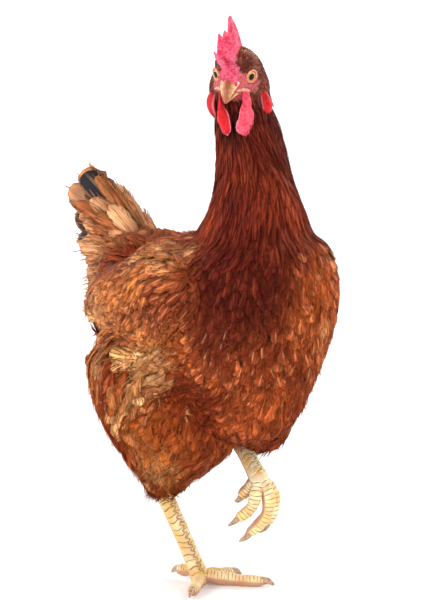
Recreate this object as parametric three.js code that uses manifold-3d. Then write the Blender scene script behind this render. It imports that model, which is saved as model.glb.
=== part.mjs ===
// A brown laying hen at life size, stopped in mid-step: she stands on her right foot, the left one hangs
// lifted, and her head is turned to her right. Millimetres, +Z up. She walks towards -Y, and her left is +X.
// The origin is the middle of the standing foot's sole, on the floor.
import * as THREE from "three";
import { mergeVertices } from "three/addons/utils/BufferGeometryUtils.js";
import Module from "manifold-3d";

const wasm = await Module();
wasm.setup();

// ---------------------------------------------------------------- driving dimensions
const GAP = 0.3; // between pieces that touch
const SINK = 3; // how deep a separate piece is begun inside what carries it, before it is cut clear

const TORSO = {
  middleY: 3,
  halfLength: 127,
  squareness: { back: 2.7, keel: 2 },
  narrower: { back: 0.02, keel: 0.31 },
};
const HEAD = { middle: vec(-17.6, -52, 433.6), turn: -46.7, nod: 24.2, tilt: 3.2 };
const EYE = { radius: 5.6, side: 10.4, forward: 24, opening: 4.5, lid: 1.1 };
const WING = { featherThickness: 1.3, shingleTilt: 8, straightFrom: 30, taper: 0.2, wobble: 1.5 };
const TAIL = { root: vec(0, 106, 276), length: 123, width: 27, thickness: 1.3, bend: -2 };
const SHANK = { across: 6.6, deep: 7.6, scuteRows: 10, scuteRise: 0.45 };
const TOE = { base: 6.5, tip: 4.7, flat: 0.6, scuteRise: 0.45, claw: 8 };

const STANDING_FOOT = vec(-8.5, 9.8, 0); // under the body, where her weight is
const STANDING_HOCK = vec(-38, 25, 85);
const LIFTED_HOCK = vec(36, 40, 138);
const LIFTED_JOINT = vec(24, -30, 96); // where the lifted foot's toes begin

// ---------------------------------------------------------------- helpers: numbers and curves
function vec(x, y, z) {
  return new THREE.Vector3(x, y, z);
}

const mix = THREE.MathUtils.lerp;
const radians = THREE.MathUtils.degToRad;
const between = (low, high, x) => THREE.MathUtils.clamp((x - low) / (high - low), 0, 1);

// A smooth course of a size through [place, size] stations.
function course(...stations) {
  const slope = (i) => {
    const a = stations[Math.max(0, i - 1)];
    const b = stations[Math.min(stations.length - 1, i + 1)];
    return (b[1] - a[1]) / (b[0] - a[0]);
  };
  return (at) => {
    let i = 0;
    while (i < stations.length - 2 && at > stations[i + 1][0]) i += 1;
    const [x0, y0] = stations[i];
    const [x1, y1] = stations[i + 1];
    const w = x1 - x0;
    const s = THREE.MathUtils.clamp((at - x0) / w, 0, 1);
    const rest = 1 - s;
    const ends = y0 * (1 + 2 * s) * rest * rest + y1 * s * s * (3 - 2 * s);
    return ends + w * s * rest * (slope(i) * rest - slope(i + 1) * s);
  };
}

// Evenly spaced shares from 0 to 1.
const shares = (count) => Array.from({ length: count }, (_, i) => i / (count - 1));

// Repeatable draws between -1 and 1.
function draws(seed) {
  let state = seed;
  return () => {
    state = (state * 16807) % 2147483647;
    return (state / 2147483647) * 2 - 1;
  };
}

// ---------------------------------------------------------------- helpers: skins and solids
// Moves each point of a closed base shape to place(along, turn, out): along runs from one end to the other,
// turn is the angle round the axis, and out is 0 at the middle of a flat end and 1 on the skin.
function moved(base, read, place) {
  const points = base.getAttribute("position");
  const p = vec(0, 0, 0);
  for (let i = 0; i < points.count; i += 1) {
    p.fromBufferAttribute(points, i);
    const { x, y, z } = place(...read(p));
    points.setXYZ(i, x, y, z);
  }
  base.deleteAttribute("normal");
  base.deleteAttribute("uv");
  return mergeVertices(base, 1e-4);
}

function roundEnded(sides, rings, place) {
  const read = (p) => {
    const ring = Math.round((Math.acos(THREE.MathUtils.clamp(p.y, -1, 1)) / Math.PI) * rings);
    return [ring / rings, ring % rings ? Math.atan2(p.z, p.x) : 0, ring % rings ? 1 : 0];
  };
  return moved(new THREE.SphereGeometry(1, sides, rings), read, place);
}

function flatEnded(sides, rings, place) {
  const read = (p) => [0.5 - p.y, Math.atan2(p.z, p.x), Math.hypot(p.x, p.z) > 0.5 ? 1 : 0];
  return moved(new THREE.CylinderGeometry(1, 1, 1, sides, rings), read, place);
}

// Places a ring's point on a curve: section(along, turn) gives how far it stands to the side and how far up.
function onCurve(curve, side, section, ease = (t) => t) {
  return (along, turn, out) => {
    const t = ease(along);
    const forward = curve.getTangentAt(t);
    const up = vec(0, 0, 0).crossVectors(forward, side).normalize();
    const across = vec(0, 0, 0).crossVectors(up, forward);
    const [a, b] = section(t, turn, along);
    return curve.getPointAt(t).addScaledVector(across, a * out).addScaledVector(up, b * out);
  };
}

const roundly = (along) => (1 - Math.cos(Math.PI * along)) / 2;
const through = (...points) => new THREE.CatmullRomCurve3(points, false, "centripetal");

function solid(geometry, matrix) {
  const bare = geometry.clone();
  if (matrix) bare.applyMatrix4(matrix);
  const vertProperties = bare.getAttribute("position").array;
  const triVerts = new Uint32Array(bare.index.array);
  const make = () => new wasm.Manifold(new wasm.Mesh({ numProp: 3, vertProperties, triVerts }));
  const made = make();
  if (made.volume() > 0) return made;
  for (let i = 0; i < triVerts.length; i += 3) {
    [triVerts[i + 1], triVerts[i + 2]] = [triVerts[i + 2], triVerts[i + 1]];
  }
  return make();
}

const joined = (solids) => solids.reduce((all, one) => all.add(one));
const cutBy = (whole, ...cutters) => cutters.reduce((left, cutter) => left.subtract(cutter), whole);

function largest(made) {
  return made.decompose().sort((a, b) => b.volume() - a.volume())[0];
}

function mesh(name, made, material) {
  const { vertProperties, triVerts } = largest(made).getMesh();
  const geometry = new THREE.BufferGeometry();
  geometry.setAttribute("position", new THREE.BufferAttribute(vertProperties, 3));
  geometry.setIndex(new THREE.BufferAttribute(triVerts, 1));
  const piece = new THREE.Mesh(mergeVertices(geometry, 1e-4), material);
  piece.name = name;
  return piece;
}

// A box that reaches far below a level, to cut flats at it.
function below(level) {
  const box = new THREE.BoxGeometry(600, 600, 100);
  box.translate(0, 0, level - 50);
  box.deleteAttribute("normal");
  box.deleteAttribute("uv");
  return solid(mergeVertices(box, 1e-4));
}

// ---------------------------------------------------------------- materials
const finish = (color, roughness) => new THREE.MeshStandardMaterial({ color, roughness, metalness: 0 });
const breastFeathers = finish("#7a3014", 0.8);
const neckFeathers = finish("#8a3a18", 0.75);
const wingFeathers = finish("#a8562c", 0.7);
const paleFeathers = finish("#b9713c", 0.85);
const tailFeathers = finish("#b0683a", 0.75);
const redSkin = finish("#c8203a", 0.5);
const yellowHorn = finish("#cdbb86", 0.45);
const legScales = finish("#cdb672", 0.55);
const clawHorn = finish("#b9a98c", 0.4);
const eyeGlass = finish("#b5651f", 0.1);

// ---------------------------------------------------------------- torso
// Levels and widths run along the body from the rump, 0, to the breast, 1.
const torsoStations = [0, 0.15, 0.3, 0.45, 0.6, 0.75, 0.88, 1];
const alongTorso = (...sizes) => course(...sizes.map((size, i) => [torsoStations[i], size]));
const torsoBack = alongTorso(262, 292, 299, 303, 311, 313, 294, 252);
const torsoWidest = alongTorso(262, 258, 250, 247, 249, 253, 254, 252);
const torsoKeel = alongTorso(262, 220, 180, 147, 130, 144, 188, 252);
const torsoWidth = alongTorso(0, 38, 64, 78, 77, 63, 39, 0);

const torsoY = (along) => TORSO.middleY + TORSO.halfLength * Math.cos(Math.PI * along);
const torsoAlong = (y) => {
  const share = THREE.MathUtils.clamp((y - TORSO.middleY) / TORSO.halfLength, -0.995, 0.995);
  return Math.acos(share) / Math.PI;
};
const torsoEdge = (along, up) => (up > 0 ? torsoBack(along) : torsoKeel(along));
const torsoHeight = (along, up) => Math.abs(torsoEdge(along, up) - torsoWidest(along));
const squareness = (up) => (up > 0 ? TORSO.squareness.back : TORSO.squareness.keel);
const squared = (x, up) => Math.sign(x) * Math.abs(x) ** (2 / squareness(up));

// The body is narrower at the keel than at the back.
const narrowed = (up) => 1 - (up > 0 ? TORSO.narrower.back : -TORSO.narrower.keel) * up;

function torsoShape(grow = 0) {
  return roundEnded(22, 18, (along, turn, out) => {
    const up = squared(Math.sin(turn), Math.sin(turn));
    const wide = squared(Math.cos(turn), Math.sin(turn)) * narrowed(up);
    return vec(
      wide * (torsoWidth(along) + grow) * out,
      torsoY(along) + Math.cos(Math.PI * along) * grow,
      torsoWidest(along) + up * (torsoHeight(along, up) + grow) * out,
    );
  });
}

// How far the torso's side stands from the middle at a place seen from the side.
function torsoSide(y, z) {
  const along = torsoAlong(y);
  const rise = z - torsoWidest(along);
  const up = THREE.MathUtils.clamp(rise / torsoHeight(along, rise), -0.93, 0.93);
  const wide = (1 - Math.abs(up) ** squareness(up)) ** (1 / squareness(up));
  return torsoWidth(along) * wide * narrowed(up);
}

// The point that stands a given height off a side of the body, and the way out from it there.
// reach(y, z) says how far that side is from the middle.
function offSide(reach, side, y, z, lift) {
  const step = 2;
  const outward = vec(
    1,
    (reach(y - step, z) - reach(y + step, z)) / (2 * step),
    (reach(y, z - step) - reach(y, z + step)) / (2 * step),
  ).normalize();
  const point = vec(reach(y, z), y, z).addScaledVector(outward, lift);
  point.x *= side;
  outward.x *= side;
  return { point, outward };
}

// ---------------------------------------------------------------- neck
const neckLine = through(
  vec(0, -46, 250),
  vec(-2, -60, 312),
  vec(-0.5, -56, 340),
  vec(0, -50, 374),
  vec(-1, -43, 400),
  vec(0, -36, 422),
  vec(-2, -33, 443),
);
const neckStations = [0, 0.16, 0.27, 0.38, 0.5, 0.68, 0.82, 0.93, 1];
const alongNeck = (...sizes) => course(...sizes.map((size, i) => [neckStations[i], size]));
const neckAcross = alongNeck(0, 48, 50, 40, 32.5, 28, 24.5, 20.5, 0);
const neckDeep = alongNeck(0, 46, 48, 41, 34, 29, 25, 19, 0);

function neckShape(grow = 0) {
  const section = (t, turn) => [
    Math.cos(turn) * (neckAcross(t) + grow),
    Math.sin(turn) * (neckDeep(t) + grow),
  ];
  return roundEnded(18, 16, onCurve(neckLine, vec(1, 0, 0), section, roundly));
}

// ---------------------------------------------------------------- head, in its own frame
// Its origin is midway between the eyes, and the beak points along -Y before the head is nodded and turned.
const headPlace = new THREE.Matrix4().compose(
  HEAD.middle,
  new THREE.Quaternion().setFromEuler(
    new THREE.Euler(radians(HEAD.nod), radians(HEAD.tilt), radians(HEAD.turn), "ZYX"),
  ),
  vec(1, 1, 1),
);
const toHead = headPlace.clone().invert();

const headTop = course([0, 1], [0.2, 9.5], [0.35, 14.5], [0.55, 17.4], [0.75, 15.5], [0.9, 8], [1, -3]);
const headBottom = course([0, -5], [0.2, -13], [0.35, -17], [0.55, -22], [0.75, -24], [0.9, -18], [1, -6]);
const headWide = course([0, 0], [0.2, 9.5], [0.35, 12.6], [0.6, 18.5], [0.75, 20.5], [0.9, 14], [1, 0]);
const headReach = { front: -22, back: 30 };

function headShape(grow = 0) {
  return roundEnded(20, 14, (along, turn, out) => {
    const top = headTop(along);
    const bottom = headBottom(along);
    const up = Math.sin(turn);
    const cheek = 1 - 0.2 * up;
    return vec(
      Math.cos(turn) * (headWide(along) + grow) * cheek * out,
      mix(headReach.front - grow, headReach.back + grow, roundly(along)),
      (top + bottom) / 2 + up * ((top - bottom) / 2 + grow) * out,
    );
  });
}

function ball(radius, middle, sides = 12, rings = 8, scale = vec(1, 1, 1)) {
  return roundEnded(sides, rings, (along, turn, out) => {
    const wide = radius * Math.sin(Math.PI * along) * out;
    return vec(wide * Math.cos(turn), wide * Math.sin(turn), radius * Math.cos(Math.PI * along))
      .multiply(scale)
      .add(middle);
  });
}

const eyeMiddle = (side) => vec(side * EYE.side, 0, 0.5);

// The lids are a ring round the eye, which looks out sideways and a little forward.
function lids(side) {
  const ring = new THREE.TorusGeometry(EYE.opening, EYE.lid, 6, 16);
  ring.deleteAttribute("normal");
  ring.deleteAttribute("uv");
  ring.scale(1.12, 0.92, 1);
  ring.translate(0, 0, Math.sqrt(EYE.radius ** 2 - EYE.opening ** 2));
  ring.rotateY((side * Math.PI) / 2);
  ring.rotateZ(radians(-EYE.forward * side));
  ring.translate(...eyeMiddle(side).toArray());
  return solid(mergeVertices(ring, 1e-4));
}

function headSolid() {
  const whole = joined([solid(headShape()), lids(1), lids(-1)]);
  const sockets = [1, -1].map((side) => solid(ball(EYE.radius + GAP, eyeMiddle(side))));
  return cutBy(whole, ...sockets);
}

// ---------------------------------------------------------------- beak
const upperBeakLine = through(vec(0, -12, 0), vec(0, -22, 0.5), vec(0, -30, -2), vec(0, -36.5, -8.5));
const lowerBeakLine = through(vec(0, -10, -8.5), vec(0, -20, -8.2), vec(0, -27, -8.6), vec(0, -32, -9.4));
const upperBeakWide = course([0, 8.6], [0.35, 7.6], [0.7, 4.8], [1, 1.1]);
const upperBeakDeep = course([0, 6.4], [0.35, 5.6], [0.7, 4.2], [1, 1.2]);
const lowerBeakWide = course([0, 7.4], [0.4, 6], [0.75, 3.5], [1, 1]);

function upperBeakShape(grow = 0) {
  const section = (t, turn) => {
    const up = Math.sin(turn);
    const deep = up > 0 ? upperBeakDeep(t) : upperBeakDeep(t) * 0.62;
    return [Math.cos(turn) * (upperBeakWide(t) + grow), -up * (deep + grow)];
  };
  return flatEnded(12, 6, onCurve(upperBeakLine, vec(1, 0, 0), section));
}

function lowerBeakShape(grow = 0) {
  const section = (t, turn) => {
    const up = Math.sin(turn);
    return [Math.cos(turn) * (lowerBeakWide(t) + grow), -up * (mix(3.4, 1, t) + grow)];
  };
  return flatEnded(12, 6, onCurve(lowerBeakLine, vec(1, 0, 0), section));
}

function nostrils() {
  return [1, -1].map((side) => solid(ball(1.3, vec(side * 6.2, -22.8, 1.8), 6, 4, vec(1, 1.8, 0.8))));
}

// ---------------------------------------------------------------- comb, wattles and ear lobes
// Each of the comb's points: its place from front, 0, to back, 1, its height, and how far it leans sideways.
const COMB = {
  front: -25, back: 27, columns: 24,
  thickness: 6.5, edge: 1.6, frontThicker: 1.3, frontFold: 4, valley: 0.8,
};
const COMB_POINTS = [
  { at: 0.12, height: 27, lean: -12 },
  { at: 0.24, height: 38.5, lean: -8.5 },
  { at: 0.38, height: 40.5, lean: -4.6 },
  { at: 0.56, height: 49, lean: -3.4 },
  { at: 0.76, height: 35, lean: -2 },
];

function combStations(value, atEnds) {
  const stations = [[0, atEnds[0]]];
  COMB_POINTS.forEach((point, i) => {
    const next = COMB_POINTS[i + 1];
    stations.push([point.at, point[value]]);
    if (!next) return;
    const valley = Math.min(point.height, next.height) * COMB.valley;
    const half = (point[value] + next[value]) / 2;
    stations.push([(point.at + next.at) / 2, value === "height" ? valley : half]);
  });
  return [...stations, [1, atEnds[1]]];
}

const combFoot = course([0, 1], [0.2, 8], [0.5, 16], [0.8, 17], [1, 12]);
const combTop = course(...combStations("height", [8, 14]));
const combLean = course(...combStations("lean", [0, 0]));

function combShape() {
  const base = new THREE.BoxGeometry(1, 1, 1, 2, COMB.columns, 4);
  const read = (p) => [p.x, p.y + 0.5, p.z + 0.5];
  return moved(base, read, (x, along, up) => {
    const foot = combFoot(along);
    const thicker = 1 + COMB.frontThicker * between(0.5, 0, along);
    const thick = mix(COMB.thickness, COMB.edge, up ** 0.7) * thicker;
    const folded = COMB.frontFold * between(0.5, 0.05, along) * Math.sin(Math.PI * up);
    const ripple = Math.sin(along * 17 + up * 2) * folded;
    return vec(
      x * thick + combLean(along) * up * up + ripple,
      mix(COMB.front, COMB.back, along) + up * 2,
      mix(foot - SINK, Math.max(combTop(along), foot + 1), up),
    );
  });
}

// Wattles and lobes hang straight down, whichever way the head is held.
const hanging = vec(0, 0, -1).transformDirection(toHead);
const WATTLE = { root: vec(9.5, -14, -11), length: 33, inward: [7, -1], wide: 10.5, thick: 2.5, twist: 38 };

function wattleShape(side) {
  const root = vec(side * WATTLE.root.x, WATTLE.root.y, WATTLE.root.z);
  const inward = side < 0 ? WATTLE.inward[0] : WATTLE.inward[1];
  const point = (t, out) => {
    const level = root.clone().addScaledVector(hanging, WATTLE.length * t);
    return level.add(vec(side * (out - inward * t), 0, 0));
  };
  const hang = through(point(-0.12, -1.5), point(0.15, 0.8), point(0.5, 1), point(0.8, 0.3), point(1, 0));
  const wide = course([0, 0.25], [0.25, 0.45], [0.55, 0.8], [0.82, 1], [0.95, 0.75], [1, 0]);
  const across = vec(side * Math.sin(radians(WATTLE.twist)), Math.cos(radians(WATTLE.twist)), 0);
  const section = (t, turn) => [
    Math.cos(turn) * wide(t) * WATTLE.wide,
    Math.sin(turn) * Math.min(1, wide(t) * 2) * WATTLE.thick + Math.sin(t * 8) * Math.cos(turn) * 1.2,
  ];
  return roundEnded(12, 10, onCurve(hang, across, section, roundly));
}

const LOBE = { middle: vec(24, 4, -26), offset: 2.8, long: 13, wide: 7, thick: 3.2, forward: 30 };

function lobeShape(side) {
  const middle = vec(side * LOBE.middle.x + LOBE.offset, LOBE.middle.y, LOBE.middle.z);
  const point = (t) => middle.clone().addScaledVector(hanging, LOBE.long * t);
  const across = vec(side * Math.sin(radians(LOBE.forward)), Math.cos(radians(LOBE.forward)), 0);
  const size = course([0, 0], [0.15, 0.62], [0.5, 1], [0.85, 0.68], [1, 0]);
  const section = (t, turn) => [
    Math.cos(turn) * size(t) * LOBE.wide,
    Math.sin(turn) * size(t) * LOBE.thick,
  ];
  return roundEnded(10, 8, onCurve(through(point(-1), point(0), point(1)), across, section, roundly));
}

// ---------------------------------------------------------------- feathers
// One vane, a flat blade that is widest past its middle and rounded at its tip.
const vaneWide = course([0, 0.45], [0.35, 0.86], [0.7, 1], [0.9, 0.86], [1, 0.5]);

function vane(curve, across, width, thickness, rings = 5) {
  const section = (t, turn, along) => {
    const end = along > 0 && along < 1 ? 1 : 0;
    return [
      Math.cos(turn) * (width / 2) * vaneWide(t) * end,
      Math.sin(turn) * (thickness / 2) * end,
    ];
  };
  return roundEnded(4, rings, onCurve(curve, across, section, roundly));
}

// ---------------------------------------------------------------- wings
// Each tier's feathers begin on one line and end on another, as [y, z] from the side, the front one first.
// The lift is how high off the torso a feather lies at its root and at its tip.
const WING_TIERS = [
  {
    name: "primaries", count: 5, width: 17, lift: [3, 2.6],
    from: [-40, 236], to: [-34, 250], tipFrom: [80, 196], tipTo: [128, 212],
  },
  {
    name: "secondaries", count: 9, width: 22, lift: [6, 4.6],
    from: [-52, 240], to: [8, 290], tipFrom: [12, 200], tipTo: [108, 250],
  },
  {
    name: "greater coverts", count: 8, width: 19, lift: [8.2, 7.6],
    from: [-60, 240], to: [-6, 292], tipFrom: [-16, 210], tipTo: [46, 280],
  },
  {
    name: "median coverts", count: 7, width: 17, lift: [9.4, 9.6],
    from: [-61, 244], to: [-18, 292], tipFrom: [-32, 220], tipTo: [16, 288],
  },
  {
    name: "lesser coverts", count: 6, width: 16, lift: [10.4, 11.4],
    from: [-66, 250], to: [-32, 291], tipFrom: [-42, 231], tipTo: [-6, 290],
  },
];

// Towards the rump the folded wing runs on almost straight while the body narrows, and so it stands off it.
function wingReach(y, z) {
  const straight = torsoSide(WING.straightFrom, z) - WING.taper * (y - WING.straightFrom);
  return y > WING.straightFrom ? Math.max(torsoSide(y, z), straight) : torsoSide(y, z);
}
const offWing = (side, y, z, lift) => offSide(wingReach, side, y, z, lift);

function wingFeather(side, tier, share, wobble) {
  const root = [mix(tier.from[0], tier.to[0], share), mix(tier.from[1], tier.to[1], share)];
  const tip = [
    mix(tier.tipFrom[0], tier.tipTo[0], share),
    mix(tier.tipFrom[1], tier.tipTo[1], share) + wobble,
  ];
  const spots = [0, 0.34, 0.67, 1].map((t) => {
    const lift = mix(tier.lift[0], tier.lift[1], t);
    return offWing(side, mix(root[0], tip[0], t), mix(root[1], tip[1], t), lift);
  });
  const curve = through(...spots.map((spot) => spot.point));
  const outward = spots[1].outward;
  const across = vec(0, 0, 0).crossVectors(outward, curve.getTangentAt(0.5)).normalize();
  across.addScaledVector(outward, -side * Math.tan(radians(WING.shingleTilt)));
  return solid(vane(curve, across.normalize(), tier.width, WING.featherThickness));
}

// The arm of the wing, under its coverts: a flat pad on the torso's side.
function wingArm(side, grow = 0) {
  const line = [[-68, 262], [-48, 262], [-22, 268], [6, 280]];
  const spots = line.map(([y, z]) => offWing(side, y, z, 1.5));
  const curve = through(...spots.map((spot) => spot.point));
  const wide = course([0, 16], [0.3, 26], [0.7, 19], [1, 7]);
  const section = (t, turn) => {
    const arch = Math.sin(Math.PI * between(-0.12, 1.05, t));
    return [Math.sin(turn) * (9.5 * arch + grow), Math.cos(turn) * (wide(t) * arch + grow)];
  };
  return solid(roundEnded(14, 8, onCurve(curve, spots[1].outward, section, roundly)));
}

// The room that the folded wing takes on the torso's side, down to its lower edge.
const wingEdge = course([-85, 250], [-40, 214], [8, 192], [70, 186], [135, 198]);

function wingBed(side) {
  const base = new THREE.BoxGeometry(1, 1, 1, 1, 10, 4);
  const read = (p) => [p.x + 0.5, p.y + 0.5, p.z + 0.5];
  return solid(
    moved(base, read, (out, along, up) => {
      const y = mix(-85, 135, along);
      return offWing(side, y, mix(wingEdge(y), 275, up), mix(-14, 26, out)).point;
    }),
  );
}

function wing(side) {
  const draw = draws(7);
  const feathers = WING_TIERS.flatMap((tier) =>
    shares(tier.count).map((share) => wingFeather(side, tier, share, draw() * WING.wobble)),
  );
  return joined([wingArm(side), ...feathers]);
}

// ---------------------------------------------------------------- tail
// A hen's tail is a tent: each side's feathers fan from steep to level, the upper ones innermost.
const tailLength = course([0, 0.96], [0.17, 0.98], [0.33, 0.88], [0.5, 0.78], [0.67, 0.7], [1, 0.64]);
const TAIL_TIERS = [
  { name: "main", pairs: 7, length: 1, steep: [37.5, -15], spread: [1, 5], out: [2, 13], width: 1 },
  { name: "coverts", pairs: 5, length: 0.66, steep: [46, -24], spread: [3, 10], out: [6, 18], width: 0.92 },
  { name: "fluff", pairs: 4, length: 0.48, steep: [42, -36], spread: [6, 16], out: [10, 22], width: 0.9 },
];

function tailFeather(side, share, tier) {
  const steep = radians(mix(tier.steep[0], tier.steep[1], share));
  const spread = radians(side * mix(tier.spread[0], tier.spread[1], share) + TAIL.bend);
  const fromMiddle = vec(side * mix(tier.out[0], tier.out[1], share), 0, mix(10, -18, share));
  const root = TAIL.root.clone().add(fromMiddle);
  const length = TAIL.length * tier.length * tailLength(share);
  const straight = vec(Math.sin(spread), Math.cos(spread) * Math.cos(steep), Math.sin(steep)).normalize();
  const droop = vec(0, 0.25, -1).multiplyScalar(length * 0.08);
  const point = (t) => root.clone().addScaledVector(straight, length * t).addScaledVector(droop, t * t);
  const roll = radians(mix(52, 84, share));
  const across = vec(side * Math.cos(roll), 0, -Math.sin(roll));
  const width = TAIL.width * tier.width;
  const shaft = through(point(-0.15), point(0.3), point(0.65), point(1));
  return solid(vane(shaft, across, width, TAIL.thickness));
}

function tailStump() {
  const line = through(vec(0, 84, 258), vec(0, 110, 270), vec(-2, 138, 284));
  const wide = course([0, 10], [0.3, 22], [0.6, 18], [1, 6]);
  const section = (t, turn) => [Math.cos(turn) * wide(t), Math.sin(turn) * wide(t) * 1.5];
  return solid(roundEnded(14, 8, onCurve(line, vec(1, 0, 0), section, roundly)));
}

function tail() {
  const feathers = TAIL_TIERS.flatMap((tier) =>
    [1, -1].flatMap((side) => shares(tier.pairs).map((share) => tailFeather(side, share, tier))),
  );
  return joined([tailStump(), ...feathers]);
}

// ---------------------------------------------------------------- thighs, in their loose feathers
// Level by level from the hock up: how far across and how deep the feathering is, and where its middle is.
const THIGHS = {
  right: {
    levels: [77, 240],
    across: [[81, 12], [90, 19], [102, 36], [118, 49.5], [134, 55], [183, 49], [205, 45], [225, 28]],
    deep: [[81, 13], [90, 19], [102, 31], [118, 47], [134, 60], [183, 63], [205, 62], [225, 42]],
    x: course([77, -40], [102, -28], [118, -23.5], [134, -28.5], [150, -38], [183, -46], [205, -44], [240, -34]),
    y: course([77, 26], [102, 22], [118, 21], [134, 25], [150, 30], [183, 38], [240, 38]),
  },
  left: {
    levels: [110, 216],
    across: [[115, 16], [127, 25], [150, 34], [185, 34]],
    deep: [[115, 19], [127, 33], [150, 46], [185, 44]],
    x: course([110, 44], [150, 44], [216, 42]),
    y: course([110, -2], [150, 8], [216, 4]),
  },
};

function thighShape({ levels, across, deep, x, y }, grow = 0) {
  const wide = course([levels[0], 0], ...across, [levels[1], 0]);
  const long = course([levels[0], 0], ...deep, [levels[1], 0]);
  return roundEnded(16, 14, (along, turn, out) => {
    const level = mix(levels[0], levels[1], roundly(along));
    return vec(
      x(level) + Math.cos(turn) * (wide(level) + grow) * out,
      y(level) + Math.sin(turn) * (long(level) + grow) * out,
      level - Math.cos(Math.PI * along) * grow,
    );
  });
}

// ---------------------------------------------------------------- shanks
// Two rows of scutes run down the front, their lower edges raised, and they lie half a scute apart.
function shankShape(hock, joint, front, grow = 0) {
  const line = through(hock, hock.clone().lerp(joint, 0.5).addScaledVector(front, 1.5), joint);
  const side = vec(0, 0, 0).crossVectors(front, line.getTangentAt(0.5)).normalize();
  const size = course([0, 1.15], [0.18, 1], [0.8, 0.98], [1, 1.18]);
  const rings = SHANK.scuteRows * 2;
  const section = (t, turn, along) => {
    const facing = Math.max(0, Math.sin(turn));
    const ring = Math.round(along * rings) + (Math.cos(turn) > 0 ? 1 : 0);
    const raised = ring % 2 && Math.abs(Math.cos(turn)) > 0.1 ? SHANK.scuteRise * 2 : 0;
    const rise = raised * facing + grow;
    return [
      Math.cos(turn) * (SHANK.across * size(t) + rise),
      Math.sin(turn) * (SHANK.deep * size(t) + rise),
    ];
  };
  return flatEnded(12, rings, onCurve(line, side, section));
}

// ---------------------------------------------------------------- feet
// A toe runs through its points to its end, scuted above and padded below, and its claw begins there.
function toeShape(points, up, scutes, grow = 0) {
  const line = through(...points);
  const side = vec(0, 0, 0).crossVectors(up, line.getTangentAt(0.3)).normalize();
  const rings = scutes * 2;
  const section = (t, turn, along) => {
    const facing = -Math.sin(turn);
    const radius = mix(TOE.base, TOE.tip, t) + grow;
    const raised = Math.round(along * rings) % 2 ? TOE.scuteRise : -TOE.scuteRise;
    const pad = 0.6 * Math.cos(t * Math.PI * 6);
    const bump = facing > 0.3 ? raised : facing < -0.3 ? pad : 0;
    return [Math.cos(turn) * radius, Math.sin(turn) * (radius + bump)];
  };
  return flatEnded(8, rings, onCurve(line, side, section));
}

function clawShape(points, up) {
  const line = through(...points);
  const end = line.getPointAt(1);
  const forward = line.getTangentAt(1);
  const down = up.clone().multiplyScalar(-1);
  const curve = through(
    end.clone().addScaledVector(forward, GAP),
    end.clone().addScaledVector(forward, GAP + TOE.claw * 0.5).addScaledVector(up, 0.2),
    end.clone().addScaledVector(forward, GAP + TOE.claw).addScaledVector(down, TOE.tip * 0.62),
  );
  const side = vec(0, 0, 0).crossVectors(up, forward).normalize();
  const size = course([0, 0.86], [0.5, 0.55], [1, 0.12]);
  const section = (t, turn) => [
    Math.cos(turn) * TOE.tip * size(t) * 0.8,
    Math.sin(turn) * TOE.tip * size(t),
  ];
  return flatEnded(6, 4, onCurve(curve, side, section));
}

// A point of a toe on the floor, whose round underside is pressed flat. A share of its length from its root.
function onFloor(x, y, share) {
  const height = mix(TOE.base, TOE.tip, share) - TOE.flat + 2 * (1 - share) ** 2;
  return STANDING_FOOT.clone().add(vec(x, y, height));
}

const lifted = (x, y, z) => LIFTED_JOINT.clone().add(vec(x, y, z));
const floorUp = vec(0, 0, 1);

// Each toe: its points from the joint to its claw, which way its upper side faces, and its count of scutes.
const TOES = {
  right: {
    middle: {
      points: [onFloor(0, 0, 0), onFloor(13, -13, 0.33), onFloor(28, -27, 0.7), onFloor(41, -38, 1)],
      up: floorUp, scutes: 8,
    },
    inner: {
      points: [onFloor(0, 0, 0), onFloor(13, 2, 0.35), onFloor(27, 2.5, 0.75), onFloor(37, 2, 1)],
      up: floorUp, scutes: 6,
    },
    outer: {
      points: [onFloor(0, 0, 0), onFloor(-9, -10, 0.35), onFloor(-19, -20, 0.75), onFloor(-28, -28, 1)],
      up: floorUp, scutes: 6,
    },
    hind: {
      points: [onFloor(0, 0, 0).setZ(13), onFloor(-3, 14, 0.5).setZ(9.5), onFloor(-5.5, 26, 1).setZ(7.5)],
      up: floorUp, scutes: 4,
    },
  },
  left: {
    middle: {
      points: [lifted(0, 0, 0), lifted(3, -9, -13), lifted(2, -8, -31), lifted(-9, 4, -49)],
      up: vec(0.2, -1, 0.25), scutes: 8,
    },
    inner: {
      points: [lifted(0, 0, 0), lifted(-6, -4, -12), lifted(-9, -2, -24), lifted(-19, 6, -35)],
      up: vec(-0.2, -1, 0.3), scutes: 6,
    },
    outer: {
      points: [lifted(0, 0, 0), lifted(10, -5, -11), lifted(13, -4, -26), lifted(10, 4, -43)],
      up: vec(0.4, -1, 0.2), scutes: 6,
    },
    hind: {
      points: [lifted(0, 0, 0), lifted(-4, 8, -9), lifted(-9, 14, -18)],
      up: vec(-0.4, -0.4, -1), scutes: 4,
    },
  },
};

function foot(name, joint, grow = 0) {
  const toes = Object.values(TOES[name]).map(({ points, up, scutes }) => {
    return solid(toeShape(points, up.clone().normalize(), scutes, grow));
  });
  const pad = solid(ball(8 + grow, joint, 10, 8, vec(1, 1, 0.9)));
  return joined([pad, ...toes]);
}

// ---------------------------------------------------------------- the hen, put together
const hen = new THREE.Group();
hen.position.copy(STANDING_FOOT).negate();

const torso = solid(torsoShape());
const torsoRoom = solid(torsoShape(GAP));
const neckRoom = solid(neckShape(GAP));
const headRoom = solid(headShape(GAP));
const headRoomInBody = solid(headShape(GAP), headPlace);
const neckRoomInHead = solid(neckShape(GAP), toHead);

hen.add(mesh("torso", torso, breastFeathers));
hen.add(mesh("neck", cutBy(solid(neckShape()), torsoRoom, headRoomInBody), neckFeathers));
hen.add(mesh("tail", cutBy(tail(), torsoRoom), tailFeathers));

const sides = [
  { name: "left", side: 1 },
  { name: "right", side: -1 },
];

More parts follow.
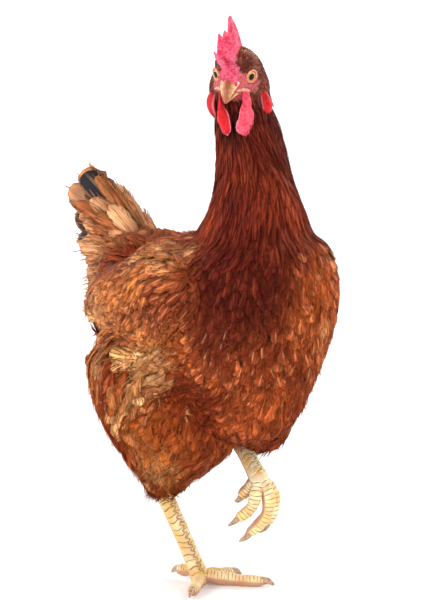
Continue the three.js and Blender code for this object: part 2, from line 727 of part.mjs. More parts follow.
const head = new THREE.Group();
head.applyMatrix4(headPlace);
const upperRoom = solid(upperBeakShape(GAP));
const lowerRoom = solid(lowerBeakShape(GAP));
head.add(mesh("head", headSolid(), neckFeathers));
head.add(mesh("beak_upper", cutBy(solid(upperBeakShape()), headRoom, ...nostrils()), yellowHorn));
head.add(mesh("beak_lower", cutBy(solid(lowerBeakShape()), headRoom, upperRoom), yellowHorn));
head.add(mesh("comb", cutBy(solid(combShape()), headRoom, upperRoom), redSkin));
for (const { name, side } of sides) {
  const eye = solid(ball(EYE.radius, eyeMiddle(side), 12, 8));
  head.add(mesh(`eye_${name}`, eye, eyeGlass));
  const wattle = cutBy(solid(wattleShape(side)), headRoom, lowerRoom, upperRoom, neckRoomInHead);
  head.add(mesh(`wattle_${name}`, wattle, redSkin));
  const lobe = cutBy(solid(lobeShape(side)), headRoom, neckRoomInHead);
  head.add(mesh(`ear_lobe_${name}`, lobe, redSkin));
}
hen.add(head);

for (const { name, side } of sides) {
  hen.add(mesh(`wing_${name}`, cutBy(wing(side), torsoRoom, neckRoom), wingFeathers));
}

const STANDING_JOINT = STANDING_FOOT.clone().setZ(6);
const legs = {
  right: { hock: STANDING_HOCK, joint: STANDING_JOINT, front: vec(0.5, -0.85, 0.2).normalize() },
  left: { hock: LIFTED_HOCK, joint: LIFTED_JOINT, front: vec(0.1, -0.5, 0.85).normalize() },
};

for (const { name, side } of sides) {
  const leg = legs[name];
  const thighRoom = solid(thighShape(THIGHS[name], GAP));
  const other = name === "left" ? [solid(thighShape(THIGHS.right, GAP))] : [];
  const thigh = cutBy(solid(thighShape(THIGHS[name])), torsoRoom, wingBed(side), ...other);
  hen.add(mesh(`thigh_${name}`, thigh, paleFeathers));
  const shank = cutBy(solid(shankShape(leg.hock, leg.joint, leg.front)), thighRoom, torsoRoom);
  hen.add(mesh(`shank_${name}`, shank, legScales));
  const shankRoom = solid(shankShape(leg.hock, leg.joint, leg.front, GAP));
  hen.add(mesh(`foot_${name}`, cutBy(foot(name, leg.joint), shankRoom, below(0)), legScales));
  for (const [toe, { points, up }] of Object.entries(TOES[name])) {
    const claw = solid(clawShape(points, up.clone().normalize()));
    hen.add(mesh(`claw_${name}_${toe}`, cutBy(claw, below(0)), clawHorn));
  }
}

export default hen;
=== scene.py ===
# %% [markdown]
# # A brown laying hen, at life size
# The solids of the hen are loaded as a fixed frame: torso, neck, head, wings, tail, legs and the soft red
# parts of the face. Everything here is built round that frame, so that nothing has to be fitted afterwards.

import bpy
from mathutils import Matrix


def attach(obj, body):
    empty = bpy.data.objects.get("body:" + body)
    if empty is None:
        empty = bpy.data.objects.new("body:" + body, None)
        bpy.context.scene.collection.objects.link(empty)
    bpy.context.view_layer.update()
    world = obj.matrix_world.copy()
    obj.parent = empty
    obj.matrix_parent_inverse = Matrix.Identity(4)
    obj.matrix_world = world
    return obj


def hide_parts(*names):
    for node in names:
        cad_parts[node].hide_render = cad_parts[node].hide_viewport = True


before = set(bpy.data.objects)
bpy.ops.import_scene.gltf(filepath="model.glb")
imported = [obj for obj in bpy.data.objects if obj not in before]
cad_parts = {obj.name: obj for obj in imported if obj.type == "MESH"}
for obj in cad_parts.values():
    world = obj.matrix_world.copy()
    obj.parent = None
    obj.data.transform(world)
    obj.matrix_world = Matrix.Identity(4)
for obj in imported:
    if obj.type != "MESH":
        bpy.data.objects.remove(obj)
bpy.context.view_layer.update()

import math

import bmesh
import bpy
import numpy as np
from mathutils import Vector, noise
from mathutils.bvhtree import BVHTree

# %% [markdown]
# The hen's own sizes are easiest to think of in millimetres, measured from the middle of her body, with +Z
# up and her beak towards -Y. The frame is in metres from the sole of the foot that she stands on, so one
# function carries every finished point across.

# %% Sizes and places
MM = 0.001
FOOT = np.array([-8.5, 9.8, 0.0])


def placed(points):
    """Points of the body, in millimetres, as points of the frame, in metres."""
    return (np.asarray(points, float) - FOOT) * MM


def on_body(points):
    return np.asarray(points, float) / MM + FOOT


def unit(vectors):
    vectors = np.asarray(vectors, float)
    return vectors / np.maximum(np.linalg.norm(vectors, axis=-1, keepdims=True), 1e-9)


def fade(value, low, high):
    """0 below low, 1 above high, and smooth between them."""
    share = np.clip((np.asarray(value, float) - low) / (high - low), 0, 1)
    return share * share * (3 - 2 * share)


def mix(a, b, share):
    return a + (b - a) * share


print("the middle of her body is at", placed([0, 0, 250]), "m")

# %% [markdown]
# Two kinds of curve come back everywhere. A course gives one size along a form, such as the width of a
# feather from root to tip, through a few stations. A line runs through a few points in space, such as the
# middle of a toe. Both are smooth, so that a few numbers are enough for each.


# %% Courses
def course(*stations):
    """A smooth course of a size through (place, size) stations."""
    at, size = np.array(stations, float).T
    before = np.maximum(np.arange(len(at)) - 1, 0)
    after = np.minimum(np.arange(len(at)) + 1, len(at) - 1)
    slope = (size[after] - size[before]) / (at[after] - at[before])

    def size_at(x):
        i = np.clip(np.searchsorted(at, x) - 1, 0, len(at) - 2)
        w = at[i + 1] - at[i]
        s = np.clip((x - at[i]) / w, 0, 1)
        rest = 1 - s
        ends = size[i] * (1 + 2 * s) * rest * rest + size[i + 1] * s * s * (3 - 2 * s)
        return ends + w * s * rest * (slope[i] * rest - slope[i + 1] * s)

    return size_at


print("halfway from 2 to 6 a course gives", course((0, 2), (1, 6))(0.5))


# %% Lines
class Line:
    """A smooth curve through points, read by a share of its length."""

    def __init__(self, *points):
        p = np.array(points, float)
        p = np.vstack([2 * p[0] - p[1], p, 2 * p[-1] - p[-2]])
        dense = []
        s = np.linspace(0, 1, 16, endpoint=False)[:, None]
        for a, b, c, d in zip(p, p[1:], p[2:], p[3:]):
            ab, bc, cd = (max(np.linalg.norm(k), 1e-6) ** 0.5 for k in (b - a, c - b, d - c))
            start = ((b - a) / ab - (c - a) / (ab + bc) + (c - b) / bc) * bc
            end = ((c - b) / bc - (d - b) / (bc + cd) + (d - c) / cd) * bc
            square = 3 * (c - b) - 2 * start - end
            cube = 2 * (b - c) + start + end
            dense.append(b + start * s + square * s**2 + cube * s**3)
        self.points = np.vstack([*dense, p[-2]])
        steps = np.linalg.norm(np.diff(self.points, axis=0), axis=1)
        self.places = np.r_[0, np.cumsum(steps)]
        self.length = self.places[-1]

    def at(self, share):
        place = np.asarray(share, float) * self.length
        return np.stack([np.interp(place, self.places, self.points[:, k]) for k in range(3)], -1)

    def forward(self, share):
        share = np.asarray(share, float)
        return unit(self.at(np.minimum(share + 0.02, 1)) - self.at(np.maximum(share - 0.02, 0)))


bow = Line((1, 0, 0), (0.7, 0.7, 0), (0, 1, 0))
print("a quarter circle's line is about", round(bow.length, 2), "long")

# %% [markdown]
# ## The camera, the floor and the light
# The camera stands in front of the hen on her right, a little above her back. The floor is a wide pale bowl,
# spun from one profile: it has no edge and no horizon, so it looks the same from every side. The light is
# that of a white tent: bright surroundings, a large lamp on each side, which draws the edges of the bird,
# and weaker ones in front and behind.

# %% The camera
FOCAL_LENGTH = 109.74


def stood(name, data):
    """A new object in the scene."""
    made = bpy.data.objects.new(name, data)
    bpy.context.scene.collection.objects.link(made)
    return made


camera = stood("camera", bpy.data.cameras.new("camera"))
camera_place = Vector(placed([-876.8, -1246.7, 433.0]))
camera_aim = Vector(placed([-22.1, -27.2, 250.0]))
camera.location = camera_place
camera.rotation_euler = (camera_aim - camera_place).to_track_quat("-Z", "Y").to_euler()
camera.data.lens = FOCAL_LENGTH
camera.data.clip_start = 0.05
bpy.context.scene.camera = camera
print("the camera is", round((camera_aim - camera_place).length, 3), "m from her")

# %% The floor
FLOOR_PROFILE = [(0.0, 0.0), (1.5, 0.0), (3.4, 0.0), (4.4, 0.25), (5.1, 1.0), (5.4, 2.2), (5.5, 4.5)]
bowl = bmesh.new()
spots = [bowl.verts.new((out, 0, up)) for out, up in FLOOR_PROFILE]
edges = [bowl.edges.new(pair) for pair in zip(spots, spots[1:])]
bmesh.ops.spin(
    bowl, geom=spots + edges, cent=(0, 0, 0), axis=(0, 0, 1), angle=math.tau, steps=64, use_merge=True
)
bmesh.ops.remove_doubles(bowl, verts=bowl.verts, dist=0.001)
bmesh.ops.recalc_face_normals(bowl, faces=bowl.faces)
floor = stood("floor", bpy.data.meshes.new("floor"))
bowl.to_mesh(floor.data)
bowl.free()
floor.data.shade_smooth()
rounding = floor.modifiers.new("round", "SUBSURF")
rounding.levels = 2
rounding.render_levels = 2
print("the floor is a bowl of", len(floor.data.polygons), "faces")

# %% The light
LAMPS = (
    ("lamp_front", (-0.9, -2.4, 1.9), 0.9, 17),
    ("lamp_right", (-2.3, 0.5, 1.5), 0.8, 26),
    ("lamp_left", (2.3, -0.1, 1.5), 0.9, 20),
    ("lamp_back", (0.6, 2.4, 2.0), 1.6, 14),
)
LAMPS_AIM = Vector((0, 0, 0.25))
bpy.context.scene.view_settings.view_transform = "Standard"
world = bpy.data.worlds.new("tent")
world.use_nodes = True
world.node_tree.nodes["Background"].inputs["Color"].default_value = (1, 1, 1, 1)
world.node_tree.nodes["Background"].inputs["Strength"].default_value = 0.3
bpy.context.scene.world = world
for name, place, size, watts in LAMPS:
    light = bpy.data.lights.new(name, "AREA")
    light.size = size
    light.energy = watts
    hung = stood(name, light)
    hung.location = Vector(place)
    hung.rotation_euler = (LAMPS_AIM - hung.location).to_track_quat("-Z", "Y").to_euler()
print("lamps and their watts:", {name: watts for name, _, _, watts in LAMPS})

# %% [markdown]
# ## How the materials are written
# A material is a sum of fields over the surface. A small class wraps a socket, so that an expression such as
# `1 - edge * 0.4` adds the nodes for it, and every other node comes from one method.


# %% Colours and sums of sockets
def linear(level):
    return level / 12.92 if level < 0.039 else ((level + 0.055) / 1.055) ** 2.4


def shade(red, green, blue):
    """A colour as a painter would name it, 0 to 255, as the shader wants it."""
    return tuple(linear(level / 255) for level in (red, green, blue))


class Value:
    def __init__(self, paint, socket):
        self.paint = paint
        self.socket = socket

    def __add__(self, other):
        return self.paint.maths("ADD", self, other)

    __radd__ = __add__

    def __mul__(self, other):
        return self.paint.maths("MULTIPLY", self, other)

    __rmul__ = __mul__

    def __sub__(self, other):
        return self.paint.maths("SUBTRACT", self, other)

    def __rsub__(self, other):
        return self.paint.maths("SUBTRACT", other, self)

    def __truediv__(self, other):
        return self.paint.maths("DIVIDE", self, other)


print("middle grey is", round(shade(128, 128, 128)[0], 3), "to the shader")

# %% [markdown]
# The maker of a material keeps its nodes and its shader. What is the same all over a surface is set on the
# shader's own sockets from the start, by their names, and what varies is linked at the end.


# %% A maker of materials
class Nodes:
    """A material, and a method for each kind of node."""

    def __init__(self, name, numbers):
        self.material = bpy.data.materials.new(name)
        self.material.use_nodes = True
        self.tree = self.material.node_tree
        self.shader = self.tree.nodes["Principled BSDF"]
        for socket, number in numbers.items():
            self.shader.inputs[socket].default_value = number

    def join(self, socket, value):
        if isinstance(value, Value):
            self.tree.links.new(value.socket, socket)
        elif isinstance(value, tuple) and len(value) == 3 and len(socket.default_value) == 4:
            socket.default_value = (*value, 1)
        else:
            socket.default_value = value

    def node(self, kind, settings=None, sockets=None, output=0):
        made = self.tree.nodes.new("ShaderNode" + kind)
        for name, value in (settings or {}).items():
            setattr(made, name, value)
        for name, value in (sockets or {}).items():
            self.join(made.inputs[name], value)
        return Value(self, made.outputs[output])

    def maths(self, operation, a, b=0.0):
        return self.node("Math", {"operation": operation}, {0: a, 1: b})

    def vector(self, operation, a, b):
        return self.node("VectorMath", {"operation": operation}, {0: a, 1: b})

    def mixed(self, share, a, b, kind="MIX"):
        settings = {"data_type": "RGBA", "blend_type": kind}
        return self.node("Mix", settings, {0: share, 6: a, 7: b}, output=2)

    def parts(self, vector):
        split = self.tree.nodes.new("ShaderNodeSeparateXYZ")
        self.join(split.inputs[0], vector)
        return [Value(self, out) for out in split.outputs]

    def finish(self, colour, roughness=None, bump=None, depth=0.0002):
        self.join(self.shader.inputs["Base Color"], colour)
        if roughness is not None:
            self.join(self.shader.inputs["Roughness"], roughness)
        if bump is not None:
            raised = self.node("Bump", {}, {"Height": bump, "Distance": depth, "Strength": 1.0})
            self.join(self.shader.inputs["Normal"], raised)
        return self.material


# %% What is painted with them
class Paint(Nodes):
    """Fields over a surface: grain, patches and marks."""

    def mottled(self, grain, low, high, dark, light):
        """Dark where the grain is below low, and light where it is above high."""
        return self.mixed(self.fade(grain, low, high), dark, light)

    def fade(self, value, low, high):
        sockets = {"Value": value, "From Min": low, "From Max": high}
        return self.node("MapRange", {"interpolation_type": "SMOOTHSTEP"}, sockets)

    def near(self, place, middle, radius):
        """1 at a place on the body, in millimetres, and 0 a radius away from it."""
        sockets = {0: place, 1: tuple(placed(middle))}
        far = self.node("VectorMath", {"operation": "DISTANCE"}, sockets, output=1)
        return 1 - self.fade(far, radius * MM * 0.35, radius * MM)

    def patch(self, spot, colour, middle, radius, amount, tint):
        """A round patch of a tint over a colour, amount strong."""
        return self.mixed(self.near(spot, middle, radius) * amount, colour, tint)

    def grain(self, place, scale, detail=2.0):
        return self.node("TexNoise", {}, {"Vector": place, "Scale": scale, "Detail": detail})

    def creases(self, place, scale):
        """0 in the creases between the pebbles of red skin, and 1 on them."""
        cells = self.node("TexVoronoi", {"feature": "DISTANCE_TO_EDGE"}, {"Vector": place, "Scale": scale})
        return self.fade(cells, 0.0, 0.22)

    def place(self):
        return self.node("TexCoord", output=3)

    def mark(self, name, output=2):
        return self.node("Attribute", {"attribute_name": name}, output=output)


def translucent(weight, *radius):
    """How much light goes into flesh, and how far in, in metres, for red, green and blue."""
    return {"Subsurface Weight": weight, "Subsurface Radius": radius}


# %% [markdown]
# ## Moulding
# Most of the hard and fleshy parts are closed forms that run along a line: a beak, a toe, a wattle. Each is
# a ball's net whose points are moved: `along` runs from one pole to the other, `turn` is the angle round the
# line, and `out` is 0 on a pole and 1 elsewhere. A flat end puts the first and the last ring at the pole.


# %% Moulding helpers
def moulded(sides, rings, place, flat=False):
    form = bmesh.new()
    bmesh.ops.create_uvsphere(form, u_segments=sides, v_segments=rings, radius=1)
    net = np.array([v.co for v in form.verts])
    ring = np.rint(np.arccos(np.clip(net[:, 2], -1, 1)) / math.pi * rings)
    pole = ring % rings == 0
    turn = np.where(pole, 0, np.arctan2(net[:, 1], net[:, 0]))
    along = np.clip((ring - 1) / (rings - 2), 0, 1) if flat else ring / rings
    points = place(along, turn, 1.0 - pole)
    for vert, point in zip(form.verts, points):
        vert.co = point
    bmesh.ops.recalc_face_normals(form, faces=form.faces)
    return form


# %% Forms along a line
def along_line(line, side, section, ease=lambda share: share):
    """Places a net's points round a line: section(t, turn) is how far to the side and how far up."""
    side = np.asarray(side, float)

    def place(along, turn, out):
        t = ease(along)
        forward = line.forward(t)
        up = unit(np.cross(forward, side))
        across = np.cross(up, forward)
        a, b = section(t, turn)
        return line.at(t) + across * (a * out)[:, None] + up * (b * out)[:, None]

    return place


def roundly(along):
    return (1 - np.cos(math.pi * along)) / 2


def ball(middle, radii, sides=28, rings=20, frame_of=lambda points: points):
    """A closed round form with three radii, in the frame of the body or of another part."""

    def place(along, turn, out):
        wide = np.sin(math.pi * along) * out
        sphere = np.stack([wide * np.cos(turn), wide * np.sin(turn), np.cos(math.pi * along)], 1)
        return frame_of(np.array(middle) + sphere * radii)

    return moulded(sides, rings, place)


print("a ball's net has", len(ball((0, 0, 0), (1, 1, 1)).verts), "points")


# %% From a form to a piece
def marked(mesh, name, values):
    """Keeps a number for each point of a mesh, for its material to read."""
    mesh.attributes.new(name, "FLOAT", "POINT").data.foreach_set("value", np.asarray(values, np.float32))


def mesh_of(name, form):
    """The form, in millimetres on the body, as a mesh in the frame."""
    for vert, point in zip(form.verts, placed([v.co for v in form.verts])):
        vert.co = point
    mesh = bpy.data.meshes.new(name)
    form.to_mesh(mesh)
    form.free()
    mesh.shade_smooth()
    return mesh


def piece_of(name, mesh, material, nodes=()):
    piece = stood(name, mesh)
    mesh.materials.append(material)
    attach(piece, "root")
    if nodes:
        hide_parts(*nodes)
    print(name, "has", len(mesh.polygons), "faces")


# %% [markdown]
# ## The head's own frame
# The head turns with the neck, so its details are made in a frame of its own, midway between the eyes with
# the beak along -Y and the crown along +Z.

# %% The head's own frame
turn, nod, tilt = (math.radians(a) for a in (-46.7, 24.2, 3.2))


def turned(axis, angle):
    a, b = [(1, 2), (2, 0), (0, 1)][axis]
    matrix = np.eye(3)
    matrix[a, a] = matrix[b, b] = math.cos(angle)
    matrix[b, a] = math.sin(angle)
    matrix[a, b] = -math.sin(angle)
    return matrix


HEAD_TURN = turned(2, turn) @ turned(1, tilt) @ turned(0, nod)
HEAD_MIDDLE = np.array([-17.6, -52, 433.6])
EYE_RADIUS = 5.6


def from_head(points):
    return np.asarray(points, float) @ HEAD_TURN.T + HEAD_MIDDLE


def to_head(points):
    return (np.asarray(points, float) - HEAD_MIDDLE) @ HEAD_TURN


def moulded_on_head(sides, rings, place, flat=False):
    return moulded(sides, rings, lambda along, turn, out: from_head(place(along, turn, out)), flat)


print("the beak points along", from_head((0, -1, 0)) - HEAD_MIDDLE)


# %% [markdown]
# ## The body under the feathers
# A plucked hen is one skin from beak to hock. It is made by swelling copies of the flesh solids until they
# touch, adding soft lumps between them, melting all of them into one surface with a voxel remesh, and drawing
# that in by the depth of the coat that will lie on it.

# %% The torso's own measures
TORSO_STATIONS = (0, 0.15, 0.3, 0.45, 0.6, 0.75, 0.88, 1)


def along_torso(*sizes):
    return course(*zip(TORSO_STATIONS, sizes))


torso_back = along_torso(262, 292, 299, 303, 311, 313, 294, 252)
torso_widest = along_torso(262, 258, 250, 247, 249, 253, 254, 252)
torso_keel = along_torso(262, 220, 180, 147, 130, 144, 188, 252)
torso_width = along_torso(0, 38, 64, 78, 77, 63, 39, 0)


def torso_side(y, z):
    """How far the torso's side stands from the middle at a place seen from the side."""
    along = np.arccos(np.clip((y - 3) / 127, -0.995, 0.995)) / math.pi
    rise = z - torso_widest(along)
    above = rise > 0
    high = np.abs(np.where(above, torso_back(along), torso_keel(along)) - torso_widest(along))
    up = np.clip(rise / high, -0.93, 0.93)
    square = np.where(above, 2.7, 2.0)
    wide = (1 - np.abs(up) ** square) ** (1 / square)
    return torso_width(along) * wide * (1 - np.where(above, 0.02, -0.31) * up)


def wing_reach(y, z):
    """The folded wing runs on almost straight where the body narrows behind it."""
    straight = torso_side(30, z) - 0.2 * (y - 30)
    return np.where(y > 30, np.maximum(torso_side(y, z), straight), torso_side(y, z))


print("the torso is", round(2 * float(torso_side(0.0, 250.0))), "mm wide at its middle")


# %% The wing's arm
def off_wing(side, y, z, lift):
    """Points that stand a height off one side of the body, and the ways out from it there."""
    step = 2.0
    y, z, lift = np.broadcast_arrays(np.asarray(y, float), z, lift)
    along_y = (wing_reach(y - step, z) - wing_reach(y + step, z)) / (2 * step)
    along_z = (wing_reach(y, z - step) - wing_reach(y, z + step)) / (2 * step)
    outward = unit(np.stack([np.ones_like(y), along_y, along_z], -1))
    point = np.stack([wing_reach(y, z), y, z], -1) + outward * lift[..., None]
    mirror = np.array([side, 1, 1])
    return point * mirror, outward * mirror


WING_FRONT, WING_REAR = -72, 102
wing_middle = course((0, 262), (0.17, 259), (0.4, 248), (0.7, 236), (1, 224))
wing_half = course((0, 6), (0.17, 27), (0.4, 38), (0.7, 33), (1, 12))
wing_thick = course((0, 5), (0.2, 8.5), (0.5, 7.5), (1, 4))


def pad_height(y, z):
    """How far the folded wing's pad stands off the body."""
    t = np.clip((y - WING_FRONT) / (WING_REAR - WING_FRONT), 0, 1)
    off = np.clip((z - wing_middle(t)) / wing_half(t), -1, 1)
    return wing_thick(t) * np.sqrt(1 - off * off) * (y < WING_REAR)


def wing_pad(side):
    """The folded wing's arm and the bed of its coverts, a lens on the side of the body."""

    def place(along, turn, out):
        t = roundly(along)
        z = wing_middle(t) + np.cos(turn) * wing_half(t) * out
        return off_wing(side, mix(WING_FRONT, WING_REAR, t), z, np.sin(turn) * wing_thick(t) * out)[0]

    return moulded(48, 40, place)


print("the folded wing is", round(2 * float(wing_half(0.4))), "mm deep")


# %% The stump of the tail
def tail_stump():
    wide = course((0, 10), (0.3, 21), (0.6, 17), (1, 6))
    line = Line((0, 84, 258), (0, 110, 270), (-2, 138, 284))

    def section(t, turn):
        return np.cos(turn) * wide(t), np.sin(turn) * wide(t) * 1.45

    return moulded(24, 16, along_line(line, (1, 0, 0), section, roundly))


# %% [markdown]
# Where the solids leave hollows that a hen hasn't, soft lumps fill them: the arm of each wing, the cheeks,
# the brows, the flanks over the thighs, the place behind the left ear lobe and the stump of the tail.


# %% Soft lumps that fill the skin out
def on_head(middle, radii):
    return "head", ball(middle, radii, frame_of=from_head)


SIDES = ((1, "left"), (-1, "right"))
arms = [("wing", wing_pad(side)) for side, _ in SIDES]
cheeks = [on_head((side * 16.5 + 1.4, 11, -17), (7.8, 15, 14)) for side, _ in SIDES]
brows = [on_head((side * 10.5, 1, 9.5), (6, 9, 5.5)) for side, _ in SIDES]
flanks = [("thigh_" + name, ball((side * 63, 39, 198), (24, 45, 31))) for side, name in SIDES]
behind_lobe = on_head((14.5, 14, -28), (7.5, 12, 15))
SOFT_LUMPS = [lump for pair in zip(arms, cheeks, brows, flanks) for lump in pair]
SOFT_LUMPS += [behind_lobe, ("stump", tail_stump())]
print("the solids of flesh get", len(SOFT_LUMPS), "soft lumps")

# %% Swelling the solids
FLESH = ("torso", "neck", "head", "thigh_right", "thigh_left")
SWELL = 0.5 * MM


def merged_copy(node):
    form = bmesh.new()
    form.from_mesh(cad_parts[node].data)
    bmesh.ops.remove_doubles(form, verts=form.verts, dist=0.02 * MM)
    form.normal_update()
    return form


def grown_form(form):
    for vert, point in zip(form.verts, placed([v.co for v in form.verts])):
        vert.co = point
    form.normal_update()
    return form


lumps = [(node, merged_copy(node)) for node in FLESH]
lumps += [(owner, grown_form(form)) for owner, form in SOFT_LUMPS]
body = bmesh.new()
lump_points, lump_faces, lump_owner = [], [], []
for owner, lump in lumps:
    first = len(lump_points)
    lump_points += [tuple(p) for p in on_body([v.co for v in lump.verts])]
    bmesh.ops.triangulate(lump, faces=lump.faces)
    lump.verts.index_update()
    lump_faces += [tuple(first + v.index for v in face.verts) for face in lump.faces]
    lump_owner += [owner] * len(lump.faces)
    for vert in lump.verts:
        vert.co += vert.normal * SWELL
    swollen = bpy.data.meshes.new("lump")
    lump.to_mesh(swollen)
    body.from_mesh(swollen)
    bpy.data.meshes.remove(swollen)
flesh_tree = BVHTree.FromPolygons(lump_points, lump_faces)

# %% Melting them into one skin
VOXEL = 2.4 * MM
skin = stood("skin", bpy.data.meshes.new("skin"))
body.to_mesh(skin.data)
body.free()
melt = skin.modifiers.new("melt", "REMESH")
melt.mode = "VOXEL"
melt.voxel_size = VOXEL
ease = skin.modifiers.new("ease", "SMOOTH")
ease.factor = 0.6
ease.iterations = 10


def settled(piece):
    """Leaves the piece with the mesh that its modifiers make, and no modifier."""
    seen = piece.evaluated_get(bpy.context.evaluated_depsgraph_get())
    mesh = bpy.data.meshes.new_from_object(seen)
    piece.modifiers.clear()
    old = piece.data
    piece.data = mesh
    bpy.data.meshes.remove(old)


def read(mesh, kind, name, width):
    values = np.empty(len(getattr(mesh, kind)) * width, np.float32)
    getattr(mesh, kind).foreach_get(name, values)
    return values.reshape(-1, width).astype(float)


settled(skin)
print("the melted skin has", len(skin.data.polygons), "faces")

# %% Drawing the skin in by the depth of the coat
COAT_DEPTH = {
    "torso": 4.2, "neck": 3.6, "head": 0.7, "thigh_right": 5.5, "thigh_left": 5.5, "wing": 0.6, "stump": 1.0
}
# Places where the flesh is fuller or slacker: a middle, how far round it, and how much.
FULLER = (
    ((36, -106, 302), 18, 2.5),
    ((50, -104, 266), 34, -0.6),
    ((-90, 55, 170), 28, -8.5),
    ((52, -55, 168), 34, -9.5),
)
SADDLE_Y, SADDLE_REACH, SADDLE_DIP = 63, 23, 14.5

points = on_body(read(skin.data, "vertices", "co", 3))
outward = read(skin.data, "vertices", "normal", 3)
owners = [lump_owner[flesh_tree.find_nearest(point)[2]] for point in points]
points -= outward * np.array([COAT_DEPTH[owner] for owner in owners])[:, None]
for middle, reach, amount in FULLER:
    fuller = amount * np.exp(-((np.linalg.norm(points - middle, axis=1) / reach) ** 2))
    points += outward * fuller[:, None]
saddle = np.exp(-(((points[:, 1] - SADDLE_Y) / SADDLE_REACH) ** 2)) * fade(points[:, 2], 255, 292)
points[:, 2] -= SADDLE_DIP * saddle
skin.data.vertices.foreach_set("co", placed(points).astype(np.float32).ravel())
skin.data.update()
ease = skin.modifiers.new("ease", "SMOOTH")
ease.factor = 0.5
ease.iterations = 6
settled(skin)
print("the skin is drawn in by", sorted(set(COAT_DEPTH.values())), "mm")

# %% [markdown]
# ## The face
# The bare face is red skin folded in rings round each eye and pebbled elsewhere. Its part of the skin is
# divided finer, so that the folds are real.


# %% Where the face is bare
def bareness(points):
    """1 on the bare red face and 0 where feathers grow, for points of the head."""
    x, y, z = np.abs(points[:, 0]), points[:, 1], points[:, 2]
    round_eye = 1 - fade(np.hypot((y + 3.5) / 10.5, (z + 1.5) / 9.0), 0.6, 1.15)
    before_eye = (1 - fade(y, -10, -6)) * (1 - fade(z, 5, 10)) * fade(z, -20, -15)
    low = (1 - fade(np.hypot((y + 10) / 11, (z + 9.5) / 7), 0.6, 1.1)) * fade(x, 4, 7)
    return np.maximum(np.maximum(round_eye * fade(x, 6, 9), before_eye), low)


# %% A finer net, and pebbles
def refined_head(piece, radius=40.0):
    form = bmesh.new()
    form.from_mesh(piece.data)
    near = []
    for edge in form.edges:
        ends = to_head(on_body([v.co for v in edge.verts]))
        if (np.linalg.norm(ends - (0, 2, -4), axis=1) < radius).all():
            near.append(edge)
    bmesh.ops.subdivide_edges(form, edges=near, cuts=2, use_grid_fill=True)
    bmesh.ops.triangulate(form, faces=[f for f in form.faces if len(f.verts) > 4])
    form.to_mesh(piece.data)
    form.free()


def pebbles(points, scale):
    """Round pebbles over a surface, about 1 / scale apart, 0 in the creases and 1 on top."""
    found = [noise.voronoi(Vector(p) * scale)[0] for p in points]
    return np.array([min((d[1] - d[0]) * 2.2, 1.0) for d in found])


# %% Folds of the face
FIRST_FOLD, FOLD_DENSITY, FOLDS_END = 6.4, 2.4, 5

refined_head(skin)
points = on_body(read(skin.data, "vertices", "co", 3))
normals = read(skin.data, "vertices", "normal", 3)
local = to_head(points)
near = np.where((np.linalg.norm(local, axis=1) < 42) & (local[:, 1] < 26))[0]
bare = np.zeros(len(points))
bare[near] = bareness(local[near])
face = near[bare[near] > 0.02]
from_eye = np.hypot(local[face, 1], (local[face, 2] - 0.5) * 1.15)
beyond = from_eye - FIRST_FOLD
rings = np.cos(beyond * FOLD_DENSITY) * np.exp(-np.maximum(beyond, 0) / FOLDS_END)
rings *= fade(from_eye, 4.5, 6.2)
coarse, small = pebbles(local[face] * (1, 0.6, 1), 0.55), pebbles(local[face], 1.3)
relief = 0.6 * rings + 0.8 * coarse + 0.3 * small - 0.6
points[face] += normals[face] * (relief * bare[face])[:, None]
skin.data.vertices.foreach_set("co", placed(points).astype(np.float32).ravel())
marked(skin.data, "bare", bare)
skin.data.shade_smooth()
skin.data.update()
print("the skin has", len(skin.data.polygons), "faces, and", len(face), "points on the bare face")

# %% [markdown]
# ## Where each feather grows and which way it lies
# Feathers root in the skin, slope backwards and lie over the next ones like tiles. The way that they lie is
# a field over the body: down the neck, down and back over the breast, straight back over the back, and down
# the thigh to the hock. Roots are scattered and thinned so that no two stand closer than their spacing.

# %% The skin as a surface to grow on
points = on_body(read(skin.data, "vertices", "co", 3))
triangles = np.empty(len(skin.data.loop_triangles) * 3, np.int32)
skin.data.loop_triangles.foreach_get("vertices", triangles)
triangles = triangles.reshape(-1, 3)
corners = points[triangles]
middles = corners.mean(axis=1)
areas = np.linalg.norm(np.cross(corners[:, 1] - corners[:, 0], corners[:, 2] - corners[:, 0]), axis=1) / 2
region = np.array([lump_owner[flesh_tree.find_nearest(m)[2]] for m in middles])
skin_tree = BVHTree.FromPolygons(points.tolist(), triangles.tolist())
print("bare skin to cover:", {name: round(areas[region == name].sum() / 100) for name in COAT_DEPTH}, "cm2")


def onto_skin(points):
    """The nearest places on the skin, and the way out from it there."""
    found = [skin_tree.find_nearest(point) for point in points]
    return np.array([f[0] for f in found]), np.array([f[1] for f in found])


CROWDING = 2.5


def scattered(seed, names, spacing, wanted):
    """Roots on some regions of the skin, at least a spacing apart, where wanted(points) says 1."""
    draw = np.random.default_rng(seed)
    chosen = np.where(np.isin(region, names))[0]
    share = areas[chosen] / areas[chosen].sum()
    count = int(areas[chosen].sum() / spacing**2 * CROWDING)
    picked = draw.choice(chosen, count, p=share)
    a, b = draw.random((2, count, 1))
    a, b = np.where(a + b > 1, 1 - a, a), np.where(a + b > 1, 1 - b, b)
    spots = corners[picked, 0] * (1 - a - b) + corners[picked, 1] * a + corners[picked, 2] * b
    spots = spots[draw.random(count) < wanted(spots)]
    cells = {}
    kept = []
    around = [(i, j, k) for i in (-1, 0, 1) for j in (-1, 0, 1) for k in (-1, 0, 1)]
    for spot, cell in zip(spots, np.floor(spots / spacing).astype(int).tolist()):
        close = [cells.get((cell[0] + i, cell[1] + j, cell[2] + k)) for i, j, k in around]
        if any(c is not None and ((c - spot) ** 2).sum() < spacing**2 for c in close):
            continue
        cells[tuple(cell)] = spot
        kept.append(spot)
    return np.array(kept)


